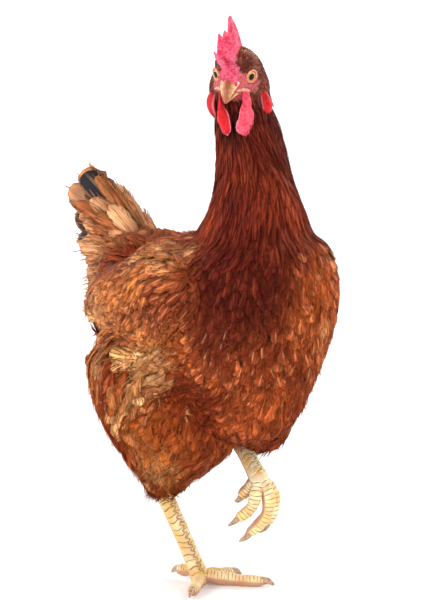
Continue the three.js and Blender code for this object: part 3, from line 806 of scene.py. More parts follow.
# %% The neck's line
NECK_LINE = Line(
    (0, -46, 250), (-2, -60, 312), (-0.5, -56, 340), (0, -50, 374),
    (-1, -43, 400), (0, -36, 422), (-2, -33, 443),
)
neck_shares = np.linspace(0, 1, 60)
neck_levels = NECK_LINE.at(neck_shares)[:, 2]


def neck_share(z):
    return np.interp(z, neck_levels, neck_shares)


print("the neck's line is", round(NECK_LINE.length), "mm long")


# %% The lie on each part of the body
def torso_lie(p):
    x, y, z = p.T
    front = 1 - fade(y, -105, -15)
    low = fade(-z, -215, -150)
    back = np.stack([0 * x, 1 + 0 * x, -0.28 - 0.3 * low], 1)
    down = np.stack([x * (0.003 - 0.011 * low), 0.22 + 0.5 * low, -1 + 0.3 * low], 1)
    rump = fade(y, 60, 110) * fade(z, 225, 260)
    way = back * (1 - front)[:, None] + down * front[:, None]
    way[:, 2] += rump * 0.7
    return way


def neck_lie(p):
    return -NECK_LINE.forward(neck_share(p[:, 2]))


def thigh_lie(p, hock):
    towards = unit(np.array(hock) - p)
    top = fade(p[:, 2], 165, 205)[:, None]
    return towards * (0.9 - 0.65 * top) + np.array([0, 0.25, -0.8]) + np.array([0, 0.6, 0.1]) * top


print("at the top of the thigh feathers point", thigh_lie(np.array([[60.0, 30, 205]]), (36, 36, 120))[0])


# %% The lie on the head, the wing and the root of the tail
def head_lie(p):
    local = to_head(p)
    low = fade(-local[:, 2], -2, 14)
    way = np.stack([0 * low, 1 - 0.3 * low, -0.2 - 0.9 * low], 1)
    return way @ HEAD_TURN.T


def wing_lie(p):
    """Down and back at the wing's front edge, and more and more level towards its rear and its top."""
    x, y, z = p.T
    level = np.maximum(fade(z, 235, 300), fade(y, -60, 50))
    return np.stack([0 * x, mix(0.55, 1.0, level), mix(-0.9, -0.36, level)], 1)


def stump_lie(p):
    return np.tile([0, 0.75, 0.55], (len(p), 1))


LIES = {
    "torso": torso_lie,
    "neck": neck_lie,
    "head": head_lie,
    "thigh_right": lambda p: thigh_lie(p, (-38, 25, 78)),
    "thigh_left": lambda p: thigh_lie(p, (36, 36, 120)),
    "wing": wing_lie,
    "stump": stump_lie,
}
print("the lie is known for", ", ".join(LIES))


# %% The lie at any root
def lie(name, spots, normals):
    """The way that feathers lie there, along the skin."""
    way = LIES[name](spots)
    return unit(way - normals * (way * normals).sum(1, keepdims=True))


def swirl(spots, scale, amount):
    """A slow wandering of the lie, as angles, alike for neighbours."""
    return np.array([noise.noise(Vector(p) * scale) for p in spots]) * amount


def about(vectors, axes, angles):
    """Vectors turned about their axes."""
    c, s = np.cos(angles)[:, None], np.sin(angles)[:, None]
    along = (vectors * axes).sum(1, keepdims=True) * axes
    return along + (vectors - along) * c + np.cross(axes, vectors) * s


# %% [markdown]
# ## One feather
# A feather is a thin blade: a section of a few points, pulled along a curved shaft. Its net is a small ball
# again, with the poles at root and tip, and all the feathers of a coat are copies of that net, each bent to
# its own shaft and joined into one mesh. A body feather has some fifty faces, a strand of down eighteen.


# %% The nets of a blade and of a strand
def blade_net(section, rings):
    """A closed net: for each point its ring and its place in the section, and the triangles."""
    form = bmesh.new()
    bmesh.ops.create_uvsphere(form, u_segments=len(section), v_segments=rings, radius=1)
    bmesh.ops.triangulate(form, faces=form.faces)
    net = np.array([v.co for v in form.verts])
    ring = np.rint(np.arccos(np.clip(net[:, 2], -1, 1)) / math.pi * rings).astype(int)
    turn = np.arctan2(net[:, 1], net[:, 0]) / math.tau
    column = np.rint(turn * len(section)).astype(int) % len(section)
    faces = np.array([[v.index for v in face.verts] for face in form.faces])
    pole = ring % rings == 0
    across, lift = np.array(section, float).T
    form.free()
    return {
        "share": 1 - (1 - ring / rings) ** 1.5,
        "across": np.where(pole, 0, across[column]),
        "lift": np.where(pole, 0, lift[column]),
        "faces": faces,
    }


# A section starts at one edge and goes round over the shaft: how far across, and how high.
SMALL_BLADE = blade_net([(1, 0), (0, 1), (-1, 0), (0, -0.4)], 7)
STRAND = blade_net([(1, -0.3), (-0.5, 0.9), (-0.5, -0.6)], 4)
LARGE_SECTION = [
    (1, 0), (0.5, 0.75), (0.06, 1), (-0.06, 1), (-0.5, 0.75), (-1, 0), (-0.5, 0.35), (0, 0.55), (0.5, 0.35)
]
LARGE_BLADE = blade_net(LARGE_SECTION, 16)
for name, net in (("body feather", SMALL_BLADE), ("strand", STRAND), ("large feather", LARGE_BLADE)):
    print("a", name, "has", len(net["faces"]), "triangles")


# %% Outlines of feathers
def outlined(tip, *stations):
    """A blade's outline: a course of widths with a round tip that starts at a share of its length."""
    widths = course(*stations)

    def width_at(share):
        beyond = np.clip((share - tip) / (1 - tip), 0, 1)
        return widths(share) * np.sqrt(1 - beyond * beyond)

    return width_at


PROFILES = {
    "contour": outlined(0.7, (0, 0.15), (0.25, 0.6), (0.5, 0.95), (1, 1)),
    "hackle": outlined(0.5, (0, 0.3), (0.25, 0.9), (0.5, 1), (1, 0.5)),
    "strand": outlined(0.3, (0, 0.7), (0.3, 1), (1, 0.8)),
    "flight": outlined(0.8, (0, 0.25), (0.15, 0.6), (0.4, 0.95), (1, 1)),
}
print("outlines:", ", ".join(PROFILES))

# %% [markdown]
# The colours of a coat are kept on a flat map of the skin, and a feather gets a small patch of that map at
# the place of its root. A second map runs over each vane, from edge to edge and from root to tip. Each point
# also knows where its feather is rooted, which gives its colour, and a tone of the feather's own.

# %% Bending the nets to their shafts
PATCH = 0.003


def between(values, share):
    """Values at even shares of a shaft, read between them."""
    place = np.clip(share, 0, 1) * (values.shape[1] - 1)
    low = np.minimum(place.astype(int), values.shape[1] - 2)
    part = (place - low)[None, :, None]
    return values[:, low] * (1 - part) + values[:, low + 1] * part


def plumes(
    name, net, shafts, ups, half, profile, thick, unwrapped, seed,
    ragged=0.12, barbs=0.3, camber=0.25, tones=None,
):
    """One mesh of many blades: shafts and ups are (count, stations, 3), half is half of each width."""
    draw = np.random.default_rng(seed)
    count = len(shafts)
    line = between(shafts, net["share"])
    ahead = between(shafts, net["share"] + 0.06) - between(shafts, net["share"] - 0.06)
    forward = unit(ahead)
    up = between(ups, net["share"])
    side = unit(np.cross(forward, up))
    up = np.cross(side, forward)
    wide = np.asarray(PROFILES[profile](net["share"]))
    uneven = 1 + ragged * draw.uniform(-1, 1, (count, len(net["share"])))
    reach = net["across"] * wide * half[:, None] * uneven
    rise = net["lift"] * thick * wide + camber * half[:, None] * wide * (1 - net["across"] ** 2)
    ahead_of = barbs * np.abs(reach) * (1 - net["share"])
    points = line + side * reach[..., None] + up * rise[..., None] + forward * ahead_of[..., None]
    faces = (net["faces"][None] + (np.arange(count) * len(net["share"]))[:, None, None]).reshape(-1, 3)
    mesh = bpy.data.meshes.new(name)
    mesh.from_pydata(placed(points.reshape(-1, 3)), [], faces)
    roots = np.repeat(placed(shafts[:, 1]), len(net["share"]), axis=0)
    root_mark = mesh.attributes.new("root", "FLOAT_VECTOR", "POINT")
    root_mark.data.foreach_set("vector", roots.astype(np.float32).ravel())
    tones = draw.random(count) if tones is None else tones
    marked(mesh, "tone", np.repeat(tones, len(net["share"])))
    vane = np.tile(np.stack([net["across"] / 2 + 0.5, net["share"]], 1), (count, 1))
    patch = np.repeat(unwrapped, len(net["share"]), axis=0) + (vane - 0.5) * PATCH
    corner_of = faces.ravel()
    for layer, spots in (("OFBake", patch), ("Vane", vane)):
        mesh.uv_layers.new(name=layer).uv.foreach_set("vector", spots[corner_of].astype(np.float32).ravel())
    mesh.shade_smooth()
    print(name, "has", count, "feathers and", len(faces), "triangles")
    return mesh


# %% [markdown]
# For the flat map, each region of the skin is unrolled round its own axis.

# %% Unrolling the skin
FULL_TURN = 6.5


def unrolled(name, p):
    """The place of a root on a flat map of its region, from 0 to 1 both ways."""
    if name == "neck":
        share = neck_share(p[:, 2])
        out = p - NECK_LINE.at(share)
        angle, height = np.arctan2(out[:, 0], -out[:, 1]), 0.02 + 0.96 * share
    elif name == "head":
        local = to_head(p)
        angle, height = np.arctan2(local[:, 0], local[:, 2] + 4), 0.5 + local[:, 1] / 90
    elif name.startswith("thigh"):
        middle = p.mean(axis=0)
        angle = np.arctan2(p[:, 0] - middle[0], middle[1] - p[:, 1])
        height = np.clip((p[:, 2] - 60) / 200, 0.01, 0.99)
    else:
        angle = np.arctan2(p[:, 0], p[:, 2] - 240)
        height = np.clip(0.5 + (p[:, 1] - 20) / 330, 0.01, 0.99)
    return np.stack([0.5 + angle / FULL_TURN, height], 1)


print("the beak's side of the neck is at", unrolled("neck", np.array([[0, -100.0, 340]]))[0], "on its map")

# %% [markdown]
# What makes a broad feather soft is its loose barbs. Each is a strand that leaves the vane, in the feather's
# own colour, and ends past its edge or its tip.


# %% Loose barbs
def frayed(shafts, ups, halves, each, reach, seed, rise=0.5):
    """Loose barbs of large feathers: each starts inside a vane and ends past its edge or its tip."""
    draw = np.random.default_rng(seed)
    own = np.repeat(np.arange(len(shafts)), each)
    count = len(own)
    start = draw.uniform(0.35, 0.96, count)
    side = draw.uniform(-1, 1, count)
    steps = shafts.shape[1] - 1
    length = np.linalg.norm(shafts[:, -1] - shafts[:, 0], axis=1)[own]
    lines, outs = [], []
    for k in range(4):
        share = start + k / 3 * np.minimum(reach / length, 0.3)
        low = np.clip((share * steps).astype(int), 0, steps - 1)
        part = (share * steps - low)[:, None]
        spot = shafts[own, low] * (1 - part) + shafts[own, low + 1] * part
        forward = unit(shafts[own, low + 1] - shafts[own, low])
        up = ups[own, low]
        across = np.cross(forward, up)
        aside = side * (0.55 + 0.2 * k) * halves[own]
        lines.append(spot + across * aside[:, None] + up * (0.3 + rise * k))
        outs.append(up)
    return np.stack(lines, 1), np.stack(outs, 1), np.full(count, 0.55)


# %% [markdown]
# A coat is grown in three steps: its roots are scattered, each shaft walks over the skin along the lie while
# it rises from it, and the blades are bent to the shafts. The walk has a few stations, so a long feather
# follows the roundness of the body.

# %% Walking over the skin
STEPS = 5


def laid(roots, long, high, angles, sunk, curl):
    """Shafts that follow the lie from their roots, and the way up from the skin along them."""
    owners = np.array([lump_owner[flesh_tree.find_nearest(root)[2]] for root in roots])
    here, out = onto_skin(roots)
    stations, ups = [here - out * sunk], [out]
    for step in range(1, STEPS + 1):
        way = np.zeros_like(here)
        for owner in set(owners):
            mine = owners == owner
            way[mine] = lie(owner, here[mine], out[mine])
        way = about(way, out, angles)
        here, out = onto_skin(here + way * (long / STEPS)[:, None])
        share = step / STEPS
        raised = high * (0.12 + 0.88 * share**0.8) + curl * long * share**3
        stations.append(here + out * raised[:, None])
        ups.append(out)
    return np.stack(stations, 1), np.stack(ups, 1)


# %% Growing a coat
def everywhere(p):
    return np.ones(len(p))


def coat(
    name, seed, where, spacing, length, width, depth, net=SMALL_BLADE, profile="contour", thick=0.35,
    wanted=everywhere, sunk=1.5, wander=0.5, stray=0.2, roll=0.2, curl=0.0, fringe=0, reach=8, **looks
):
    """Feathers over a region, and the meshes of them and of their loose barbs, if they have any.

    Length, width and depth are numbers or functions of the roots, in millimetres. Fringe is how many loose
    barbs each feather has, and reach is how long they are.
    """
    roots = scattered(seed, where, spacing, wanted)
    draw = np.random.default_rng(seed + 1000)
    count = len(roots)

    def sized(size, spread):
        value = size(roots) if callable(size) else np.full(count, float(size))
        return value * draw.uniform(1 - spread, 1 + spread, count)

    long, broad, high = sized(length, 0.18), sized(width, 0.15), sized(depth, 0.25)
    angles = np.clip(draw.normal(0, stray, count), -2 * stray, 2 * stray) + swirl(roots, 0.035, wander)
    shafts, ups = laid(roots, long, high, angles, sunk, curl)
    ahead = unit(shafts[:, -1] - shafts[:, 0])
    rolled = draw.normal(0, roll, count)
    ups = np.stack([about(ups[:, k], ahead, rolled) for k in range(STEPS + 1)], 1)
    flat = unrolled(where[0], roots)
    tones = draw.random(count)
    half = broad / 2
    made = {name: plumes(name, net, shafts, ups, half, profile, thick, flat, seed, tones=tones, **looks)}
    if fringe:
        lines, outs, thin = frayed(shafts, ups, half, fringe, reach, seed + 5, rise=0.25)
        own = np.repeat(np.arange(count), fringe)
        made["barbs_" + name] = plumes(
            "barbs_" + name, STRAND, lines, outs, thin * 0.8, "strand", 0.15, flat[own], seed + 5,
            tones=tones[own],
        )
    return made


# %% [markdown]
# ## The colours of the plumage
# A brown layer is chestnut, deep red-brown down the neck and dark over the middle of the breast, with
# orange-buff thighs and a paler, softer rump and tail. The markings are written once, as a function of a
# place on the body, and both the skin and the feathers read it, so any gap shows the right colour.


# %% Patches in the plumage
# Each patch has a middle on the body, in millimetres, a radius, a strength and a colour.
FRONT_PATCHES = (
    ((-49, -104, 278), 70, 0.9, shade(90, 14, 7)),
    ((-26, -92, 322), 46, 0.4, shade(98, 22, 10)),
    ((34, -118, 255), 62, 0.85, shade(206, 98, 42)),
)
CHEEKS = [(from_head((side * 19, 2, -8)), 20, 0.75, shade(160, 84, 66)) for side in (1, -1)]
PALE = shade(252, 190, 124)
PALE_PATCHES = (
    ((-67, -9, 199), 29, 1.0),
    ((-87, 8, 170), 19, 0.95),
    ((-86, 44, 200), 22, 0.6),
    ((-41, 34, 298), 18, 0.8),
    ((-60, -4, 284), 28, 0.5),
    ((-72, 62, 240), 32, 0.8),
    ((24, -118, 235), 12, 0.6),
    ((-60, -2, 118), 34, 0.45),
    ((40, -112, 300), 20, 0.35),
    ((-62, -46, 290), 28, 0.45),
    ((40, -92, 170), 14, 0.5),
    ((60, -6, 190), 24, 0.6),
    ((80, 40, 180), 24, 0.5),
)
# Painted shadow: dark patches in the gaps under the lower edge of the folded wing.
PAINTED_SHADOW_PATCHES = (
    ((-54, -44, 216), 12, 0.85, shade(60, 22, 12)),
    ((-80, 28, 216), 10, 0.85, shade(60, 22, 12)),
)
# Below the face: a tan patch low on her left, then two dark patches of painted shade under the beak, between
# the wattles.
BELOW_FACE = (
    (from_head((21.5, 8, -40)), 11, 0.7, shade(222, 150, 78)),
    (from_head((2, -16, -36)), 17, 0.8, shade(58, 20, 15)),
    (from_head((8, -14, -30)), 12, 0.8, shade(58, 20, 15)),
)
print(len(PALE_PATCHES), "pale patches break up the coat")


# %% The markings
def body_markings(paint, spot, blotch):
    """Chestnut, with a paler wing, a russet neck and back, and a dark breast."""
    x, y, z = paint.parts(spot)
    wide = paint.maths("ABSOLUTE", x + FOOT[0] * MM)
    colour = paint.mottled(blotch, 0.36, 0.64, shade(140, 52, 20), shade(196, 90, 40))
    wing = paint.fade(wide, 0.045, 0.07) * paint.fade(y, -0.09, -0.02) * paint.fade(z, 0.19, 0.215)
    wing_colour = paint.mottled(blotch, 0.4, 0.6, shade(150, 66, 28), shade(214, 121, 57))
    colour = paint.mixed(wing, colour, wing_colour)
    high = paint.fade(z, 0.275, 0.335) * (1 - paint.fade(y, -0.03, 0.03))
    russet = paint.mottled(paint.grain(spot, 40.0, 3.0), 0.4, 0.66, shade(100, 22, 12), shade(164, 60, 28))
    colour = paint.mixed(high * 0.92, colour, russet)
    top = paint.fade(z, 0.32, 0.39)
    colour = paint.mixed(top * 0.65, colour, shade(108, 29, 18))
    for patch in FRONT_PATCHES:
        colour = paint.patch(spot, colour, *patch)
    return colour


def fluff_markings(paint, spot, blotch, colour):
    """Orange-buff on the thighs and the belly, paler on the rump, and darker at the hock."""
    _, y, z = paint.parts(spot)
    fluff = (1 - paint.fade(z, 0.17, 0.215)) * paint.fade(y, -0.06, -0.01)
    silk = paint.mottled(blotch, 0.38, 0.62, shade(148, 54, 16), shade(212, 108, 38))
    colour = paint.mixed(fluff * 0.9, colour, silk)
    rump = paint.fade(y, 0.045, 0.085) * paint.fade(z, 0.2, 0.24)
    soft = paint.mottled(blotch, 0.38, 0.62, shade(178, 96, 52), shade(222, 150, 96))
    colour = paint.mixed(rump * 0.9, colour, soft)
    hock = 1 - paint.fade(z, 0.08, 0.11)
    return paint.mixed(hock * 0.3, colour, shade(134, 62, 28))


def markings(paint, spot):
    """The colour of the plumage at a place of the frame."""
    blotch = paint.grain(spot, 26.0, 3.0)
    fine = paint.grain(spot, 90.0, 2.0)
    colour = body_markings(paint, spot, blotch)
    colour = fluff_markings(paint, spot, blotch, colour)
    crown = paint.near(spot, (-14, -44, 448), 30)
    crown_colour = paint.mottled(fine, 0.4, 0.6, shade(164, 84, 58), shade(228, 164, 132))
    colour = paint.mixed(crown * 0.8, colour, crown_colour)
    for patch in CHEEKS:
        colour = paint.patch(spot, colour, *patch)
    for middle, radius, amount in PALE_PATCHES:
        pale = paint.near(spot, middle, radius) * paint.fade(fine, 0.3, 0.55)
        colour = paint.mixed(pale * amount, colour, PALE)
    for patch in (*PAINTED_SHADOW_PATCHES, *BELOW_FACE):
        colour = paint.patch(spot, colour, *patch)
    return colour


# %% [markdown]
# The material of a feather takes the marking at its root as its colour. Over that come fine streaks along
# the vane, a foot darkened as painted shade where the next feathers cover it, a border that can be
# lighter, and a pale shaft. Neighbours differ a little in tone.

# %% Plumage, as a material
LIGHTER = (1.9, 1.75, 1.6)


def plumage(name, streaks=0.8, shaft=0.08, tips=0.15, root_shade=0.3, colour=None, uneven=0.5, pale=0.3):
    """Streaks are hairs along the blade, and uneven is how much one feather differs from the next.

    Tips is how much lighter its border is, and pale how far that goes to buff.
    """
    paint = Paint(name, {"Roughness": 0.62, "Specular IOR Level": 0.1})
    spot = paint.mark("root", 1)
    tone = paint.mark("tone")
    across, along, _ = paint.parts(paint.node("UVMap", {"uv_map": "Vane"}))
    off = paint.maths("ABSOLUTE", across - 0.5) * 2
    own = markings(paint, spot) if colour is None else colour(paint, spot, tone, across, along)
    combed = paint.node("CombineXYZ", {}, {0: across * 8 + off * along * 3, 1: along * 1.6, 2: tone * 40})
    hairs = paint.fade(paint.grain(combed, 2.2, 3.0), 0.3, 0.7)
    bright = (1 - uneven * 0.5 + tone * uneven) * (1 - streaks * 0.5 + hairs * streaks)
    # Painted shade: each feather is darker towards its root, where the feathers over it would shade it.
    bright = bright * (1 - root_shade * (1 - paint.fade(along, 0.05, 0.6)))
    warm = bright * (0.9 + tone * 0.2)
    tint = paint.node("CombineColor", {}, {0: bright, 1: warm, 2: warm * (0.85 + tone * 0.3)})
    own = paint.mixed(1.0, own, tint, "MULTIPLY")
    edge = paint.fade(off, 0.45, 1.0) * paint.fade(along, 0.4, 0.9)
    lighter = paint.mixed(pale, paint.mixed(1.0, own, LIGHTER, "MULTIPLY"), shade(232, 164, 104))
    own = paint.mixed(edge * tips * paint.fade(tone, 0.2, 0.9), own, lighter)
    spine = (1 - paint.fade(off, 0.05, 0.16)) * (1 - paint.fade(along, 0.75, 1.0))
    own = paint.mixed(spine * shaft, own, shade(236, 186, 132))
    return paint.finish(own, roughness=0.5 + hairs * 0.25, bump=hairs, depth=0.00025)


# %% [markdown]
# Under the coat the skin is painted dark in the feathers' colours, as painted shade for the gaps between
# feathers, so that a gap never shows light. Where the face is bare it is red and pebbled.


# %% The skin's own material
def skin_material():
    paint = Paint("hen_skin", {"Roughness": 0.55, **translucent(0.12, 0.004, 0.0012, 0.0006)})
    spot = paint.place()
    # Painted shade: under the coat the skin is the plumage's markings, darkened towards black-brown.
    down = paint.mixed(0.45, markings(paint, spot), shade(60, 24, 12))
    pebbled = paint.grain(spot, 700.0, 3.0)
    creases = paint.creases(spot, 520.0)
    red = paint.mottled(pebbled, 0.35, 0.65, shade(190, 54, 60), shade(226, 108, 108))
    # Painted shade: the red skin is darkened in the creases between its pebbles.
    red = paint.mixed((1 - creases) * 0.6, red, shade(124, 44, 44))
    bare = paint.mark("bare")
    red = paint.mixed((1 - paint.fade(bare, 0.5, 0.98)) * 0.8, red, shade(150, 82, 66))
    colour = paint.mixed(paint.fade(bare, 0.2, 0.6), down, red)
    return paint.finish(colour, bump=pebbled, depth=0.0004)


skin.data.materials.append(skin_material())
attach(skin, "root")
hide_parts("torso", "neck", "head", "thigh_right", "thigh_left")

# %% [markdown]
# ## The coat
# The breast and the back carry broad soft tiles about an inch long, the neck long narrow hackles, the head
# tiny ones, and the thighs and rump a silky fluff. Among the feathers of the body, the neck and the wing
# stand single strands, so that the coat doesn't look tiled. The folded wing lies over the side of the body,
# so nothing is grown under it.


# %% Keeping the pieces of a coat
def grow(material, name, *sizes, **looks):
    for part, mesh in coat(name, *sizes, **looks).items():
        piece_of(part, mesh, material)


STRANDS = {"net": STRAND, "profile": "strand"}


# %% Where the body feathers are long and loose
def front_half(p):
    return 1.0 * (p[:, 1] < -30)


def back_half(p):
    return 1.0 * (p[:, 1] >= -30)


def looseness(p):
    """0 where the feathers lie tight and 1 where they hang loose, low on the belly and at the vent."""
    return 1 - fade(p[:, 2], 165, 215)


def body_length(p):
    return mix(27, 38, looseness(p))


def body_width(p):
    return mix(10.5, 14, looseness(p))


def body_depth(p):
    return mix(2.2, 5.0, looseness(p))


belly_root = np.array([[0, 0, 150.0]])
print("a feather of the belly is", body_length(belly_root)[0], "mm long")

# %% Body feathers
tiles = plumage("body_feathers", streaks=0.85, root_shade=0.12, uneven=0.3, tips=0.5, shaft=0.04, pale=0.15)
wisps = plumage("body_wisps", shaft=0.0, root_shade=0.0, uneven=0.5)
for name, seed, wanted, fringe in (("breast", 11, front_half, 6), ("back", 12, back_half, 5)):
    grow(
        tiles, "coat_" + name, seed, ["torso"], 3.5, body_length, body_width, body_depth, wanted=wanted,
        ragged=0.3, camber=0.06, roll=0.1, thick=0.2, stray=0.2, fringe=fringe, reach=9,
    )
    grow(
        wisps, "wisps_" + name, seed + 100, ["torso"], 3.0, 20, 0.8, 2.7, **STRANDS, thick=0.2,
        wanted=wanted, stray=0.28,
    )


# %% Paler feathers, scattered over the others
def away_from_breast(p):
    far = np.linalg.norm(p - (-49, -104, 285), axis=1)
    return 0.8 * fade(far, 40, 75) * (p[:, 1] < 70)


flecked = plumage("flecked_feathers", streaks=0.9, root_shade=0.6, uneven=0.7, tips=0.85, shaft=0.35, pale=0.7)
grow(
    flecked, "coat_flecks", 13, ["torso", "wing"], 7.0, 19, 9.5, 3.3, wanted=away_from_breast, ragged=0.25,
    camber=0.08, roll=0.15, thick=0.22, stray=0.25, fringe=5, reach=7,
)

# %% [markdown]
# The hackles get shorter and narrower up the neck and end in the tiny feathers of the head, which leave the
# bare face free.

# %% Neck hackles
hackles = plumage("neck_hackles", streaks=0.9, tips=0.4, shaft=0.03, pale=0.1)


def hackle_length(p):
    return mix(38, 14, fade(p[:, 2], 310, 425))


def hackle_width(p):
    return mix(6.0, 2.8, fade(p[:, 2], 310, 425))


grow(
    hackles, "coat_neck", 21, ["neck"], 2.4, hackle_length, hackle_width, 2.4, profile="hackle", wander=0.35,
    stray=0.12, camber=0.12, thick=0.22,
)
grow(
    hackles, "wisps_neck", 22, ["neck"], 2.1, 20, 0.8, 2.8, **STRANDS, thick=0.2, wander=0.35, stray=0.15,
)

# %% Head feathers
small = plumage("head_feathers", streaks=0.8, tips=0.15, shaft=0.05, uneven=0.7)


def feathered_head(p):
    return np.clip(1 - bareness(to_head(p)) * 1.5, 0, 1)


grow(
    small, "coat_head", 31, ["head"], 1.25, 6.5, 1.9, 0.9, profile="hackle", thick=0.2,
    wanted=feathered_head, sunk=0.5,
)

# %% [markdown]
# Fluff is made of two things: broad, very loose feathers with many long barbs, and a fur of strands among
# them. Both wander more than the tiles of the breast and curl away from the skin.

# %% Thighs, in silky fluff
silk = plumage("silky_fluff", streaks=1.0, tips=0.3, shaft=0.0, root_shade=0.2, uneven=0.4, pale=0.1)
for side, seed in (("right", 41), ("left", 42)):
    grow(
        silk, "coat_thigh_" + side, seed, ["thigh_" + side], 5.6, 42, 15, 4.4, wander=0.9, stray=0.3,
        ragged=0.35, camber=0.05, curl=0.03, thick=0.2, fringe=12, reach=12,
    )
    grow(
        silk, "fluff_thigh_" + side, seed + 10, ["thigh_" + side], 2.5, 30, 0.9, 4.9, **STRANDS, thick=0.35,
        wander=0.8, stray=0.35, curl=0.04,
    )


# %% Fluff of the belly, the rump and the tail's root
def belly(p):
    return 1 - fade(p[:, 2], 165, 195)


def rump(p):
    return fade(p[:, 1], 48, 70) * fade(p[:, 2], 200, 225)


grow(
    silk, "fluff_belly", 51, ["torso"], 2.2, 28, 1.1, 5.0, **STRANDS, thick=0.4, wanted=belly, wander=0.8,
    stray=0.3, curl=0.05,
)
grow(
    silk, "fluff_rump", 53, ["torso", "stump"], 2.3, 22, 1.0, 5.0, **STRANDS, thick=0.35, wanted=rump,
    wander=0.9, stray=0.4, curl=0.08,
)
grow(
    silk, "coat_rump", 52, ["torso", "stump"], 4.2, 28, 13, 4.5, wanted=rump, wander=0.9, stray=0.35,
    curl=0.05, roll=0.25, ragged=0.3, camber=0.06, thick=0.25, fringe=7, reach=10,
)

# %% [markdown]
# ## The folded wing
# The flight feathers lie in tiers, each tier's roots covered by the next. Each feather starts on one line
# and ends on another, seen from the side, and stands off the body by its tier's lift. Small scallops with
# paler borders cover the arm.


# %% Wing coverts
def covert_bed(p):
    return 1 - fade(p[:, 1], 44, 74)


def wing_colour(paint, spot, tone, across, along):
    """The markings, with a few cream feathers at the wing's rear corner."""
    pale = paint.near(paint.place(), (-54, 88, 226), 17) * paint.fade(tone, 0.25, 0.5)
    return paint.mixed(pale * 0.8, markings(paint, spot), shade(240, 196, 156))


quills = plumage(
    "wing_feathers", colour=wing_colour, streaks=0.9, shaft=0.3, tips=0.85, root_shade=0.4, uneven=0.6, pale=0.6
)
grow(
    quills, "coat_wings", 63, ["wing"], 4.1, 24, 10, 3.2, wanted=covert_bed, ragged=0.12, camber=0.1,
    stray=0.15, roll=0.12, thick=0.22, fringe=4, reach=6,
)
grow(
    quills, "wisps_wings", 64, ["wing"], 2.8, 17, 0.9, 3.3, **STRANDS, thick=0.25, wanted=covert_bed,
    stray=0.22,
)

# %% [markdown]
# A flight feather is stiff and smooth, so each is one large blade with a raised shaft and its own thickness.
# They are turned a little about their shafts, like shingles, so that each lies on the next.

# %% Where the flight feathers lie
# A tier runs from one root and tip, seen from the side, to another.
WING_TIERS = (
    {"count": 11, "lift": (0, 1.0), "root": ((-20, 226), (20, 250)), "tip": ((56, 190), (104, 206))},
    {"count": 17, "lift": (0, 2.6), "root": ((-44, 238), (10, 286)), "tip": ((34, 194), (105, 238))},
)
FLIGHT_WIDTH = 12
SHINGLE = math.tan(math.radians(8))


def wing_feathers(side, seed):
    draw = np.random.default_rng(seed)
    shafts, ups, halves = [], [], []
    t = np.linspace(0, 1, 8)
    for tier in WING_TIERS:
        for share in np.linspace(0, 1, tier["count"]):
            root, tip = (mix(*np.array(tier[end], float), share) for end in ("root", "tip"))
            tip = root + (tip - root) * draw.uniform(0.92, 1.0) + draw.normal(0, 1.5, 2)
            y, z = mix(root[0], tip[0], t), mix(root[1], tip[1], t)
            lift = pad_height(y, z) + mix(*tier["lift"], t) + draw.normal(0, 0.2)
            line, outs = off_wing(side, y, z, lift)
            across = np.cross(outs[3], unit(line[-1] - line[0]))
            shafts.append(line)
            ups.append(unit(outs + across * SHINGLE))
            halves.append(FLIGHT_WIDTH / 2 * draw.uniform(0.9, 1.08))
    return np.array(shafts), np.array(ups), np.array(halves)


# %% Flight feathers
for side, name, seed in ((1, "left", 61), (-1, "right", 62)):
    shafts, ups, halves = wing_feathers(side, seed)
    flat = unrolled("torso", shafts[:, 3])
    mesh = plumes(
        "feathers_wing_" + name, LARGE_BLADE, shafts, ups, halves, "flight", 0.45, flat, seed, ragged=0.06,
        camber=0.12,
    )
    piece_of("feathers_wing_" + name, mesh, quills, ["wing_" + name])
    lines, outs, thin = frayed(shafts, ups, halves, 40, 7, seed + 5)
    flat = unrolled("torso", lines[:, 1])
    mesh = plumes("barbs_wing_" + name, STRAND, lines, outs, thin, "strand", 0.2, flat, seed + 5)
    piece_of("barbs_wing_" + name, mesh, quills)

# %% [markdown]
# ## The tail
# A hen's tail is a tent of stiff feathers, buff with dark vanes, and its root is wrapped in soft coverts.
# Both are set out the same way, in tiers of pairs from the top of the tail down its sides, and differ in how
# loose they are: a loose feather droops more and its direction varies more.

# %% Where the tail feathers stand
TAIL_ROOT = np.array([0, 106, 276.0])
TAIL_LENGTH = 123
tail_length = course(
    (0, 1.0), (0.14, 1.07), (0.3, 0.86), (0.5, 0.72), (0.67, 0.64), (0.85, 0.61), (1, 0.55)
)
# Of each tier: how many pairs, how long, then from the top pair to the lowest how steep, how far spread and
# how far out at the root, and at last how far back the root is and how wide a feather.
TAIL_TIERS = (
    (8, 1, (38, -21), (1, 5), (2, 12), 0, 27),
    (9, 0.78, (45, -32), (2, 8), (5, 15), 0, 20),
    (11, 0.6, (44, -42), (4, 14), (8, 19), -2, 18),
    (13, 0.46, (42, -48), (6, 20), (10, 22), -4, 16),
    (9, 0.35, (36, -20), (5, 24), (6, 22), -9, 17),
)


